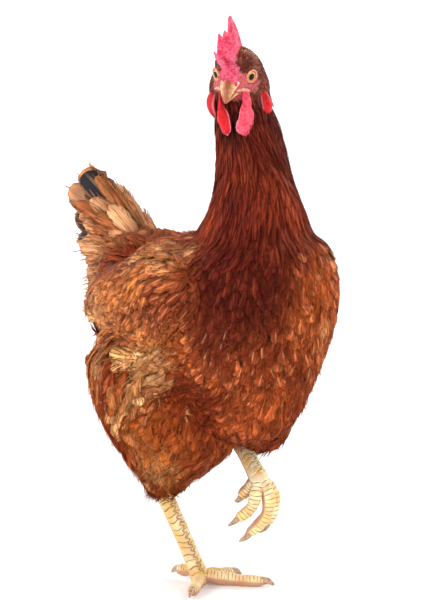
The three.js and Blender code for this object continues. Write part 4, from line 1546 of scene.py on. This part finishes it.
def tail_feathers(tiers, seed, loose):
    draw = np.random.default_rng(seed)
    shafts, ups, halves = [], [], []
    t = np.linspace(-0.15, 1, 8)[:, None]
    places = [
        (tier, side, share) for tier in tiers for side in (1, -1) for share in np.linspace(0, 1, tier[0])
    ]
    for (_, long, steeps, spreads, outs, back, wide), side, share in places:
        steep = math.radians(mix(*steeps, share) + draw.normal(0, 1.5 + 1.5 * loose))
        spread = math.radians(side * mix(*spreads, share) - 2 + draw.normal(0, 1 + 3 * loose))
        root = TAIL_ROOT + (side * mix(*outs, share), back, mix(10, -18, share))
        length = TAIL_LENGTH * long * tail_length(share) * draw.uniform(0.93 - 0.1 * loose, 1.0)
        straight = np.array([math.sin(spread), math.cos(spread) * math.cos(steep), math.sin(steep)])
        droop = np.array([side * 0.5 * loose, 0.25, -1]) * length * draw.uniform(0.06, 0.1 + 0.1 * loose)
        roll = math.radians(mix(52 - 30 * loose, 84, share) + draw.normal(0, 4 + 8 * loose))
        shafts.append(root + unit(straight) * length * t + droop * t * t)
        ups.append(np.tile(np.array([side * math.sin(roll), 0, math.cos(roll)]), (8, 1)))
        halves.append(wide / 2 * draw.uniform(0.88, 1.08))
    return np.array(shafts), np.array(ups), np.array(halves)


print("the tail has", 2 * sum(tier[0] for tier in TAIL_TIERS), "feathers in", len(TAIL_TIERS), "tiers")

# %% Colours of the tail
SLATE_PLACES = (
    ((-9, 188, 338), 13),
    ((-18, 156, 318), 12),
    ((-16, 196, 297), 15),
    ((0, 176, 325), 22),
    ((16, 188, 310), 26),
)


def tail_colour(paint, spot, tone, across, along):
    """Slate over the ends of some vanes, with a buff border, lilac-brown beside it and a buff foot."""
    off = paint.maths("ABSOLUTE", across - 0.5) * 2
    here = paint.place()
    slate = 0.0
    for middle, radius in SLATE_PLACES:
        slate = paint.maths("MAXIMUM", slate, paint.near(here, middle, radius * 1.3))
    slate = paint.fade(slate + tone * 0.4, 0.45, 0.6) * (1 - paint.fade(off, 0.75, 0.95))
    slate = slate * (1 - paint.fade(along, 0.94, 0.99))
    buff = paint.mixed(paint.grain(spot, 60.0), shade(232, 172, 120), shade(198, 130, 88))
    buff = paint.mixed(paint.near(here, (-14, 198, 322), 20) * 0.6, buff, shade(132, 92, 84))
    return paint.mixed(slate, buff, shade(44, 42, 50))


def covert_colour(paint, spot, tone, across, along):
    pale = paint.mixed(tone, shade(182, 106, 62), shade(226, 160, 108))
    root = 1 - paint.fade(along, 0.2, 0.7)
    return paint.mixed(root * 0.7, pale, shade(140, 66, 34))


# %% Tail feathers and their coverts
stiff = plumage(
    "tail_feathers", colour=tail_colour, streaks=0.6, shaft=0.25, tips=0.2, root_shade=0.2, uneven=0.3
)
soft = plumage(
    "tail_coverts", colour=covert_colour, streaks=1.0, shaft=0.0, tips=0.4, root_shade=0.3, uneven=0.3
)
for name, tiers, seed, loose, material, nodes in (
    ("tail", TAIL_TIERS[:1], 71, 0.0, stiff, ["tail"]),
    ("tail_coverts", TAIL_TIERS[1:], 72, 1.0, soft, []),
):
    shafts, ups, halves = tail_feathers(tiers, seed, loose)
    lines, outs, thin = frayed(shafts, ups, halves, 30 + int(20 * loose), 14, seed + 5)
    for part, net, (runs, tops, wide), profile, thick in (
        ("feathers_", LARGE_BLADE, (shafts, ups, halves), "flight", 0.45),
        ("barbs_", STRAND, (lines, outs, thin), "strand", 0.25),
    ):
        flat = np.stack([0.5 + runs[:, 1, 0] / 120, np.clip((runs[:, 1, 2] - 200) / 200, 0.02, 0.98)], 1)
        mesh = plumes(part + name, net, runs, tops, wide, profile, thick, flat, seed, camber=0.15)
        piece_of(part + name, mesh, material, nodes if net is LARGE_BLADE else [])

# %% [markdown]
# ## The eyes
# Each eye is a ball set in its socket, with a black pupil, an amber ring round it and a wet surface. The
# lids are a ring of pale skin round it, with a few folds.

# %% Where the eyes look
EYE_SIDE = 11.4
LID_FORWARD, PUPIL_FORWARD = math.radians(38), math.radians(47)


def eye_middle(side):
    return np.array([side * EYE_SIDE, 0, 0.5])


def eye_way(side, forward):
    """The way that an eye looks, in the frame of the head."""
    return np.array([side * math.cos(forward), -math.sin(forward), 0])


print("the left eye is at", eye_middle(1), "on the head")


# %% The eyeball's material
def eye_material(side, name):
    wet = {"Coat Weight": 0.12, "Coat Roughness": 0.02}
    paint = Paint("eye_" + name, {"Roughness": 0.08, "Specular IOR Level": 0.15, **wet})
    look = eye_way(side, PUPIL_FORWARD) @ HEAD_TURN.T
    off = paint.vector("SUBTRACT", paint.place(), tuple(placed(from_head(eye_middle(side)))))
    facing = paint.node("VectorMath", {"operation": "DOT_PRODUCT"}, {0: off, 1: tuple(look)}, output=1)
    facing = facing / (EYE_RADIUS * MM)
    spokes = paint.grain(off, 1500.0, 2.0)
    amber = paint.mottled(spokes, 0.35, 0.65, shade(206, 132, 40), shade(240, 186, 84))
    rim = paint.mixed(1 - paint.fade(facing, 0.66, 0.74), amber, shade(120, 62, 24))
    colour = paint.mixed(paint.fade(facing, 0.862, 0.885), rim, shade(10, 8, 8))
    return paint.finish(colour)


# %% The lids
EYE_OPENING, LID_THICKNESS = 4.0, 0.8
LID_FLUTES, FLUTE_DEPTH = 9, 0.1


def lid_ring(side):
    form = bmesh.new()
    bmesh.ops.create_circle(form, segments=14, radius=LID_THICKNESS)
    for vert in form.verts:
        vert.co = Vector((vert.co.x + EYE_OPENING + LID_THICKNESS, 0, vert.co.y))
    bmesh.ops.spin(
        form, geom=form.verts[:] + form.edges[:], cent=(0, 0, 0), axis=(0, 0, 1), angle=math.tau, steps=48,
        use_merge=True,
    )
    bmesh.ops.remove_doubles(form, verts=form.verts, dist=0.001)
    height = math.sqrt(EYE_RADIUS**2 - EYE_OPENING**2)
    look = eye_way(side, LID_FORWARD)
    fore = np.array([-side * look[1], side * look[0], 0])
    for vert in form.verts:
        a, b, c = vert.co
        flutter = FLUTE_DEPTH * math.sin(LID_FLUTES * math.atan2(b, a))
        spot = fore * a * 1.04 + np.array([0, 0, 1.0]) * b + look * (c + height + flutter)
        vert.co = from_head(spot + eye_middle(side))
    bmesh.ops.recalc_face_normals(form, faces=form.faces)
    return form


def lid_material():
    paint = Paint("lids", {"Roughness": 0.45, **translucent(0.1, 0.003, 0.001, 0.0005)})
    grain = paint.grain(paint.place(), 900.0, 2.0)
    colour = paint.mottled(grain, 0.35, 0.65, shade(232, 172, 146), shade(200, 112, 102))
    return paint.finish(colour, bump=grain, depth=0.0002)


# %% Eyes and lids
lid_finish = lid_material()
for side, name in SIDES:
    mesh = mesh_of("eye_" + name, ball(eye_middle(side), EYE_RADIUS, 32, 24, from_head))
    piece_of("eye_ball_" + name, mesh, eye_material(side, name), ["eye_" + name])
    piece_of("lid_" + name, mesh_of("lid_" + name, lid_ring(side)), lid_finish)

# %% [markdown]
# ## Comb, wattles and ear lobes
# The comb is a thin upright blade of flesh with five points, thick and crumpled over the beak. It is a box
# cut into many columns, whose points are moved to the blade and then pebbled. A crumpled ball of the same
# flesh fills its foot over the beak.

# %% The comb's outline
# Of each point: how far along, how high and how far it leans. Behind them the comb runs out in a lobe.
COMB_POINTS = ((0.12, 26, -12), (0.25, 38.5, -9.5), (0.38, 39, -6.2), (0.53, 47.5, -4.0))
COMB_REAR = {1: ((0.65, 40.5), (0.8, 28)), 2: ((0.7, -0.6), (0.85, 0.2))}
COMB_VALLEY = 0.8


def comb_course(column, ends):
    stations = [(0, ends[0])]
    for this, after in zip(COMB_POINTS, COMB_POINTS[1:] + (None,)):
        stations.append((this[0], this[column]))
        if after:
            valley = min(this[1], after[1]) * COMB_VALLEY
            stations.append(((this[0] + after[0]) / 2, valley if column == 1 else (this[2] + after[2]) / 2))
    return course(*stations, *COMB_REAR[column], (1, ends[1]))


print("the comb stands up to", max(high for _, high, _ in COMB_POINTS), "mm above the eyes")


# %% The comb's blade
def comb_form():
    form = bmesh.new()
    bmesh.ops.create_cube(form, size=1)
    for axis, cuts in ((1, 90), (2, 30), (0, 5)):
        lengthwise = [e for e in form.edges if abs(e.verts[0].co[axis] - e.verts[1].co[axis]) > 0.5]
        bmesh.ops.subdivide_edges(form, edges=lengthwise, cuts=cuts, use_grid_fill=True)
    x, along, up = (np.array([v.co for v in form.verts]) + (0, 0.5, 0.5)).T
    foot = course((0, 1), (0.2, 8), (0.5, 16), (0.8, 17), (1, 12))(along)
    height = comb_course(1, (8, 14))(along)
    lean = comb_course(2, (0, 0))(along)
    thicker = 1 + 1.3 * np.clip(1 - along / 0.5, 0, 1)
    rounded = np.sqrt(np.clip(1 - (2 * np.abs(x)) ** 3 * 0.6, 0, 1))
    rounded *= np.sqrt(np.clip((1.03 - up) / 0.18, 0.12, 1))
    thick = mix(9, 2.4, up**0.7) * thicker * rounded
    folded = 4 * np.clip((0.5 - along) / 0.45, 0, 1) * np.sin(math.pi * up)
    ripple = np.sin(along * 17 + up * 2) * folded
    upright = mix(foot - 3, np.maximum(height, foot + 1), up)
    points = np.stack([x * thick + lean * up * up + ripple, mix(-25, 27, along) + up * 2, upright], 1)
    outward = np.sign(x) * np.clip(np.abs(x) * 4 - 1, 0, 1)
    relief = 0.8 * pebbles(points, 0.36) + 0.45 * pebbles(points, 0.9) - 0.5
    points[:, 0] += outward * relief * mix(1.0, 0.45, up)
    for vert, point in zip(form.verts, from_head(points)):
        vert.co = point
    bmesh.ops.recalc_face_normals(form, faces=form.faces)
    return form


# %% Red flesh, as a material
def red_flesh(name, dark, light, rim=None, crease=0.35):
    flesh = translucent(0.15, 0.006, 0.0012, 0.0008)
    paint = Paint(name, {"Roughness": 0.42, "Specular IOR Level": 0.2, **flesh})
    spot = paint.place()
    pebbled = paint.grain(spot, 420.0, 3.0)
    slow = paint.grain(spot, 90.0, 2.0)
    colour = paint.mottled(pebbled * 0.6 + slow * 0.4, 0.38, 0.6, dark, light)
    creases = paint.creases(spot, 330.0)
    # Painted shade: the creases between the pebbles are darkened as much as crease says; the bump sinks them
    # too.
    deep = tuple(c * 0.45 for c in dark)
    colour = paint.mixed((1 - creases) * crease, colour, deep)
    if rim:
        colour = paint.mixed(paint.mark("rim"), colour, rim)
    return paint.finish(colour, bump=pebbled + creases * crease, depth=0.0005)


# %% Joining and pebbling forms
def joined(*forms):
    """One bmesh of several."""
    whole = bmesh.new()
    for form in forms:
        part = bpy.data.meshes.new("part")
        form.to_mesh(part)
        whole.from_mesh(part)
        form.free()
        bpy.data.meshes.remove(part)
    return whole


def pebbled_form(form, scale, height):
    form.normal_update()
    points = np.array([v.co for v in form.verts])
    relief = height * (pebbles(points, scale) - 0.5)
    for vert, rise in zip(form.verts, relief):
        vert.co += vert.normal * float(rise)
    return form


# %% The comb
comb_red = red_flesh("comb_flesh", shade(218, 46, 82), shade(241, 110, 138))
knob = pebbled_form(ball((0, -15.5, 7.5), (7.5, 8.5, 9), 64, 48, from_head), 0.4, 2.2)
knob = pebbled_form(knob, 0.8, 0.8)
piece_of("comb_flesh", mesh_of("comb_flesh", joined(comb_form(), knob)), comb_red, ["comb"])

# %% [markdown]
# The wattles and the ear lobes hang straight down, however the head is held. A wattle is a flat leaf with a
# frilled edge. The left one is wider, with a notch near its root, and the right one hangs in towards the
# throat.

# %% Wattles
HANGING = np.array([0, 0, -1.0]) @ HEAD_TURN
WATTLE_LENGTH = 32
WATTLES = {
    1: {"shift": 2.5, "inward": 1, "slim": 0.5, "width": 7.4, "notch": 0.3},
    -1: {"shift": 0, "inward": 7, "slim": 0.3, "width": 5.6, "notch": 0},
}


def wattle_form(side, rims):
    own = WATTLES[side]
    root = np.array([side * 9.5 + own["shift"], -14, -11.0])

    def point(t, out):
        return root + HANGING * WATTLE_LENGTH * t + (side * (out - own["inward"] * t), -2 * t, 0)

    line = Line(point(-0.12, -1.5), point(0.15, 0.8), point(0.5, 1), point(0.8, 0.3), point(1, 0))
    slim = own["slim"]
    wide = course((0, slim * 0.6), (0.25, slim), (0.5, 0.8), (0.75, 1), (0.93, 0.72), (1, 0))
    twist = math.radians(62)

    def section(t, turn):
        notch = 1 - own["notch"] * np.exp(-(((t - 0.36) / 0.06) ** 2)) * (np.cos(turn) > 0)
        frill = (1 + 0.05 * np.sin(t * 16 + side)) * notch
        across = np.cos(turn) * wide(t) * own["width"] * frill
        deep = np.sin(turn) * np.minimum(1, wide(t) * 2) * 2.2 * (1 - 0.6 * np.cos(turn) ** 4)
        rims.append(0.8 * np.abs(np.cos(turn)) ** 24 * fade(t, 0.3, 0.6) + 0.8 * fade(t, 0.955, 0.99))
        return across, deep + np.sin(t * 8) * np.cos(turn) * 0.8

    place = along_line(line, (side * math.sin(twist), math.cos(twist), 0), section, roundly)
    return moulded_on_head(40, 44, place)


# %% Ear lobes
LOBE_HALF = 13


def lobe_form(side, rims):
    middle = np.array([side * 21.8 + 3.4, -2.5, -24.5])
    outward = np.array([side * 3.0, 0, 0])
    above, below = middle - HANGING * LOBE_HALF, middle + HANGING * LOBE_HALF
    line = Line(above - outward, middle + outward * 0.4, below - outward)
    size = course((0, 0), (0.15, 0.6), (0.55, 1), (0.85, 0.72), (1, 0))
    forward = math.radians(30)

    def section(t, turn):
        rims.append(0.7 * np.abs(np.cos(turn)) ** 30)
        return np.cos(turn) * size(t) * 5.6, np.sin(turn) * size(t) * 3.4

    place = along_line(line, (side * math.sin(forward), math.cos(forward), 0), section, roundly)
    return moulded_on_head(32, 30, place)


# %% Wattles and ear lobes, in their flesh
PALE_RIM = shade(250, 176, 184)
bright_red = red_flesh("bright_flesh", shade(176, 2, 14), shade(208, 10, 28), PALE_RIM, crease=0.1)
pink_red = red_flesh("pink_flesh", shade(214, 56, 80), shade(234, 94, 114), PALE_RIM, crease=0.12)
for side, name, wattle_red in ((1, "left", pink_red), (-1, "right", bright_red)):
    for part, maker, node, red, scale, height in (
        ("wattle_flesh_", wattle_form, "wattle_", wattle_red, 0.55, 0.4),
        ("lobe_flesh_", lobe_form, "ear_lobe_", bright_red, 0.5, 0.2),
    ):
        rims = []
        mesh = mesh_of(part + name, pebbled_form(maker(side, rims), scale, height))
        marked(mesh, "rim", np.clip(rims[-1], 0, 1))
        piece_of(part + name, mesh, red, [node + name])

# %% [markdown]
# ## The beak
# Each half of the beak is a form along a line that bends down to its tip. The upper one has a keel and a
# dent for each nostril. Horn grows in layers from the skin: cream at the sides and the tip, brown along the
# ridge.

# %% The halves of the beak
UPPER_LINE = Line((0, -12, 0), (0, -22, 0.5), (0, -30, -2), (0, -36.5, -8.5))
LOWER_LINE = Line((0, -10, -8.5), (0, -20, -8.2), (0, -27, -8.6), (0, -32, -9.4))
upper_wide = course((0, 8.2), (0.35, 7.2), (0.7, 4.8), (1, 1.1))
upper_deep = course((0, 6.4), (0.35, 5.6), (0.7, 4.2), (1, 1.2))
lower_wide = course((0, 7.4), (0.4, 6), (0.75, 3.5), (1, 1))
NOSTRIL = np.array([6.2, -22.8, 1.8])


def upper_beak():
    def section(t, turn):
        up = np.sin(turn)
        deep = np.where(up > 0, upper_deep(t), upper_deep(t) * 0.62)
        keel = 1 - 0.16 * np.abs(np.sin(2 * turn)) * (up > 0)
        return np.cos(turn) * upper_wide(t) * keel, up * deep * keel

    place = along_line(UPPER_LINE, (1, 0, 0), section)

    def dented(along, turn, out):
        points = place(along, turn, out)
        for side in (1, -1):
            gap = points - NOSTRIL * (side, 1, 1)
            far = np.linalg.norm(gap / (1, 1.9, 0.7), axis=1)
            points[:, 0] -= side * 1.2 * (1 - fade(far, 0.6, 1.4))
        return points

    return moulded_on_head(44, 40, dented, flat=True)


def lower_beak():
    def section(t, turn):
        return np.cos(turn) * lower_wide(t), np.sin(turn) * mix(3.4, 1, t)

    return moulded_on_head(32, 28, along_line(LOWER_LINE, (1, 0, 0), section), flat=True)


print("the beak is about", round(UPPER_LINE.length), "mm long")


# %% The beak's horn
def horn_material():
    paint = Paint("beak_horn", {"Roughness": 0.35})
    spot = paint.vector("SUBTRACT", paint.place(), tuple(placed(HEAD_MIDDLE)))
    local = []
    for axis in HEAD_TURN.T:
        sockets = {0: spot, 1: tuple(axis)}
        local.append(paint.node("VectorMath", {"operation": "DOT_PRODUCT"}, sockets, output=1))
    off = paint.maths("ABSOLUTE", local[0])
    stretched = paint.node("CombineXYZ", {}, {0: local[0] * 900, 1: local[1] * 160, 2: local[2] * 500})
    layers = paint.grain(stretched, 1.0, 3.0)
    cream = paint.mottled(layers, 0.35, 0.65, shade(198, 136, 88), shade(226, 184, 130))
    ridge = 1 - paint.fade(off + layers * 0.0035, 0.0026, 0.007)
    colour = paint.mixed(ridge * 0.95, cream, shade(152, 74, 42))
    root = paint.fade(local[1], -0.022, -0.015)
    colour = paint.mixed(root * 0.7, colour, shade(244, 204, 196))
    # Painted shade in the openings of the nostrils.
    for side in (1, -1):
        nostril_shade = paint.near(paint.place(), from_head(NOSTRIL * (side, 1, 1)), 2.0)
        colour = paint.mixed(nostril_shade * 0.8, colour, shade(110, 62, 50))
    return paint.finish(colour, roughness=0.28 + layers * 0.2, bump=layers, depth=0.00015)


horn = horn_material()
for half, form in (("beak_upper", upper_beak()), ("beak_lower", lower_beak())):
    piece_of(half + "_horn", mesh_of(half + "_horn", form), horn, [half])


# %% The fleshy corners of the mouth
def gape_form(side):
    stations = ((5.5, -21, -4.5), (9, -16, -5.5), (12, -12.5, -7), (15, -9.5, -9.5))
    line = Line(*((side * x, y, z) for x, y, z in stations))
    size = course((0, 0.1), (0.25, 0.65), (0.5, 0.75), (0.85, 0.4), (1, 0))

    def section(t, turn):
        return np.cos(turn) * size(t) * 1.7, np.sin(turn) * size(t) * 1.2

    return moulded_on_head(24, 24, along_line(line, (side * 0.3, 0.4, -1), section, roundly))


pale_flesh = red_flesh("pale_flesh", shade(214, 132, 122), shade(240, 190, 172), crease=0.2)
for side, name in SIDES:
    form = pebbled_form(gape_form(side), 0.7, 0.35)
    piece_of("gape_" + name, mesh_of("gape_" + name, form), pale_flesh)

# %% [markdown]
# ## Legs and feet
# The shank is wrapped in horny plates: two rows of large scutes down the front, half a plate apart, and
# small scales behind. A toe has one row of plates above and soft pads below. The height of the plates and the
# painted shade in the grooves between them come from one function of the place on the leg.


# %% The plates of the leg
def plates(t, turn, rows):
    """Height of the plates, 0 in a groove and 1 on a plate. The front of the leg is at a quarter turn."""
    facing = np.sin(turn)
    wavy = 0.15 * np.sin(turn * 3 + t * 9) + 0.1 * np.sin(t * 41)
    row = t * rows + wavy + np.where(np.cos(turn) > 0, 0.5, 0.0)
    across = np.minimum(np.abs(np.sin(math.pi * row)) * 2.6, 1)
    middle = np.minimum(np.abs(np.cos(turn) - 0.22 * np.cos(math.tau * t * rows)) * 6, 1)
    small = np.minimum(np.abs(np.sin(math.pi * t * rows * 2.3 + 2 * turn)) * 1.8, 1)
    small = small * np.minimum(np.abs(np.sin(6 * turn + math.pi * np.floor(t * rows * 2.3))) * 1.8, 1)
    share = fade(facing, -0.15, 0.1)
    return across * middle * share + mix(1.0, small, 0.6) * (1 - share)


def leg_marks(mesh, grooves, softness):
    """How deep a point is in a groove, and how far round to the soft side of the leg it is."""
    marked(mesh, "groove", np.clip(grooves, 0, 1))
    marked(mesh, "soft", np.clip(softness, 0, 1))


# %% A shank
SHANK_ROWS = 14


def shank_piece(leg, hock, joint, front, material):
    name = f"shank_{leg}_scutes"
    hock, joint, front = (np.array(v, float) for v in (hock, joint, front))
    line = Line(hock, mix(hock, joint, 0.5) + unit(front) * 1.5, joint)
    side = unit(np.cross(unit(front), line.forward(0.5)))
    size = course((0, 1.12), (0.18, 0.96), (0.8, 0.94), (1, 1.12))
    seen = {}

    def section(t, turn):
        raised = plates(t, turn, SHANK_ROWS)
        seen["groove"], seen["soft"] = 1 - raised, fade(-np.sin(turn), 0.05, 0.7)
        rise = raised * 1.25 - 0.2
        return np.cos(turn) * (6.3 * size(t) + rise), np.sin(turn) * (7.2 * size(t) + rise)

    mesh = mesh_of(name, moulded(84, 190, along_line(line, side, section), flat=True))
    leg_marks(mesh, seen["groove"], seen["soft"])
    piece_of(name, mesh, material, ["shank_" + leg])


# %% Scales, as a material
def leg_material(name, low, high, shade_under_thigh=0.0):
    paint = Paint(name, {"Roughness": 0.42, **translucent(0.08, 0.003, 0.0015, 0.0008)})
    spot = paint.place()
    grain = paint.grain(spot, 380.0, 3.0)
    slow = paint.grain(spot, 70.0, 2.0)
    colour = paint.mottled(slow, 0.38, 0.62, low, high)
    blush = paint.fade(paint.grain(spot, 110.0, 3.0), 0.42, 0.66)
    colour = paint.mixed(blush * 0.4, colour, shade(214, 150, 118))
    colour = paint.mixed(paint.mark("soft") * 0.8, colour, shade(178, 118, 96))
    # Painted shade: the top of the lifted shank, under the thigh's feathers, is darkened.
    if shade_under_thigh:
        _, _, z = paint.parts(spot)
        top = paint.fade(z, 0.108, 0.132)
        colour = paint.mixed(top * shade_under_thigh, colour, shade(122, 104, 62))
    # Painted shade: the grooves between the plates are darkened.
    groove = paint.fade(paint.mark("groove"), 0.15, 0.75)
    colour = paint.mixed(groove * 0.7, colour, shade(92, 64, 42))
    return paint.finish(colour, roughness=0.4 + grain * 0.25, bump=grain, depth=0.0002)


# %% Shanks
# Lit and shaded copies of one material: the lifted leg is painted lighter and the standing leg darker.
shaded_standing_scales = leg_material("shaded_standing_leg_scales", shade(224, 184, 110), shade(238, 212, 160))
lit_lifted_scales = leg_material("lit_lifted_leg_scales", shade(252, 212, 134), shade(255, 244, 198), shade_under_thigh=0.8)
STANDING_HOCK, STANDING_JOINT = (-38, 25, 85), (-8.5, 9.8, 6)
LIFTED_HOCK, LIFTED_JOINT = (36, 40, 138), (24, -30, 96)
shank_piece("right", STANDING_HOCK, STANDING_JOINT, (-0.12, -0.97, 0.2), shaded_standing_scales)
shank_piece("left", LIFTED_HOCK, LIFTED_JOINT, (0.1, -0.5, 0.85), lit_lifted_scales)

# %% [markdown]
# A toe is a line too, and it can lie on the floor or hang from the lifted foot. Its upper side is given
# apart, because the plates are there and the pads below. A claw leaves the end of each.

# %% Where the toes run
TOE_BASE, TOE_TIP, TOE_FLAT = 6.1, 4.4, 0.6


def floor_point(x, y, share, z=None):
    """A place of a toe on the floor: the toe is thinner towards its end, and so its middle lies lower."""
    height = mix(TOE_BASE, TOE_TIP, share) - TOE_FLAT + 2 * (1 - share) ** 2
    return FOOT + (x, y, height if z is None else z)


def on_floor(*stations):
    return [floor_point(*station) for station in stations]


def lifted(*stations):
    return [np.array(LIFTED_JOINT) + station for station in stations]


UP = (0, 0, 1)
TOES = {
    "right": {
        "middle": (on_floor((0, 0, 0), (13, -13, 0.33), (28, -27, 0.7), (41, -38, 1)), UP, 13),
        "inner": (on_floor((0, 0, 0), (13, 2, 0.35), (27, 2.5, 0.75), (37, 2, 1)), UP, 10),
        "outer": (on_floor((0, 0, 0), (-9, -10, 0.35), (-19, -20, 0.75), (-28, -28, 1)), UP, 10),
        "hind": (on_floor((0, 0, 0, 13), (-3, 14, 0.5, 9.5), (-5.5, 26, 1, 7.5)), UP, 6),
    },
    "left": {
        "middle": (lifted((0, 0, 0), (3, -9, -13), (2, -8, -31), (-9, 4, -49)), (0.2, -1, 0.25), 13),
        "inner": (lifted((0, 0, 0), (-6, -4, -12), (-9, -2, -24), (-19, 6, -35)), (-0.2, -1, 0.3), 10),
        "outer": (lifted((0, 0, 0), (10, -5, -11), (13, -4, -26), (10, 4, -43)), (0.4, -1, 0.2), 10),
        "hind": (lifted((0, 0, 0), (-4, 8, -9), (-9, 14, -18)), (-0.4, -0.4, -1), 6),
    },
}
print("the middle toe is about", round(Line(*TOES["right"]["middle"][0]).length), "mm long")


# %% The form of a toe
def toe_form(points, up, rows, grooves, softness):
    line = Line(*points)
    side = unit(np.cross(unit(up), line.forward(0.3)))

    def section(t, turn):
        facing = np.sin(turn)
        wavy = 0.12 * np.cos(turn) + 0.1 * np.sin(t * 37 + turn * 2)
        plate = np.minimum(np.abs(np.sin(math.pi * (t * rows * 1.4 + wavy))) * 1.7, 1)
        above = fade(facing, -0.05, 0.3)
        grooves.append((1 - plate) * above)
        softness.append(1 - above)
        knuckle = 1 + 0.07 * np.cos(t * math.tau * 2.5)
        end = np.sqrt(np.clip((1.02 - t) / 0.1, 0.03, 1))
        radius = mix(TOE_BASE, TOE_TIP, t) * knuckle
        pad = (1 - above) * 0.5 * np.cos(t * math.tau * 2.5 + 2)
        rise = above * (plate * 0.9 - 0.4)
        return np.cos(turn) * (radius * 0.92 + rise * 0.5) * end, np.sin(turn) * (radius + rise + pad) * end

    return moulded(36, 96, along_line(line, side, section), flat=True)


# %% Claws
def claw_form(points, up):
    line = Line(*points)
    end, forward = line.at(1.0), line.forward(1.0)
    up = unit(up)
    claw = Line(end - forward * 4 + up * 0.8, end + forward * 2.5 + up * 1.0, end + forward * 8 - up * 2.2)
    size = course((0, 0.95), (0.35, 0.8), (0.7, 0.5), (0.92, 0.26), (1, 0.08))

    def section(t, turn):
        return np.cos(turn) * TOE_TIP * size(t) * 0.7, np.sin(turn) * TOE_TIP * size(t) * 0.9

    return moulded(20, 20, along_line(claw, np.cross(up, forward), section), flat=True)


def claw_material():
    paint = Paint("claw_horn", {"Roughness": 0.36})
    grain = paint.grain(paint.place(), 500.0, 3.0)
    colour = paint.mottled(grain, 0.35, 0.65, shade(200, 164, 128), shade(142, 110, 84))
    return paint.finish(colour, bump=grain, depth=0.00015)


# %% Feet
def kept_above_floor(form):
    for vert in form.verts:
        vert.co.z = max(vert.co.z, 0.0)
    return form


claw_horn = claw_material()
for name, joint, scales in (
    ("right", STANDING_JOINT, shaded_standing_scales),
    ("left", LIFTED_JOINT, lit_lifted_scales),
):
    pad = ball(joint, (8, 8, 7.2))
    grooves, softness = [np.zeros(len(pad.verts))], [np.full(len(pad.verts), 0.4)]
    forms = [pad]
    for toe, (points, up, rows) in TOES[name].items():
        forms.append(toe_form(points, up, rows, grooves, softness))
        claw = mesh_of("claw", kept_above_floor(claw_form(points, up)))
        piece_of(f"nail_{name}_{toe}", claw, claw_horn, [f"claw_{name}_{toe}"])
    mesh = mesh_of("foot_" + name, kept_above_floor(joined(*forms)))
    leg_marks(mesh, np.concatenate(grooves), np.concatenate(softness))
    piece_of(f"foot_{name}_scutes", mesh, scales, ["foot_" + name])

# %% [markdown]
# ## The floor's finish
# A matt, nearly white floor shows only the soft shadow under the foot. It also glows, a painted light of its
# own: dimly round her feet, so that the shadow there still shows, and more away from her, so that the bowl's
# far walls are as white as the floor beside her.

# %% Floor finish and closing
paint = Paint("floor", {"Roughness": 0.9, "Emission Strength": 0.5})
speckle = paint.grain(paint.place(), 30.0, 2.0)
# Painted light: the floor's emission is dim near her feet and full away from her.
from_foot = paint.node("VectorMath", {"operation": "LENGTH"}, {0: paint.place()}, output=1)
painted_glow = paint.mixed(paint.fade(from_foot, 0.15, 1.2), shade(90, 90, 90), shade(255, 255, 255))
paint.join(paint.shader.inputs["Emission Color"], painted_glow)
floor.data.materials.append(paint.finish(paint.mixed(speckle, shade(246, 246, 246), shade(250, 250, 250))))
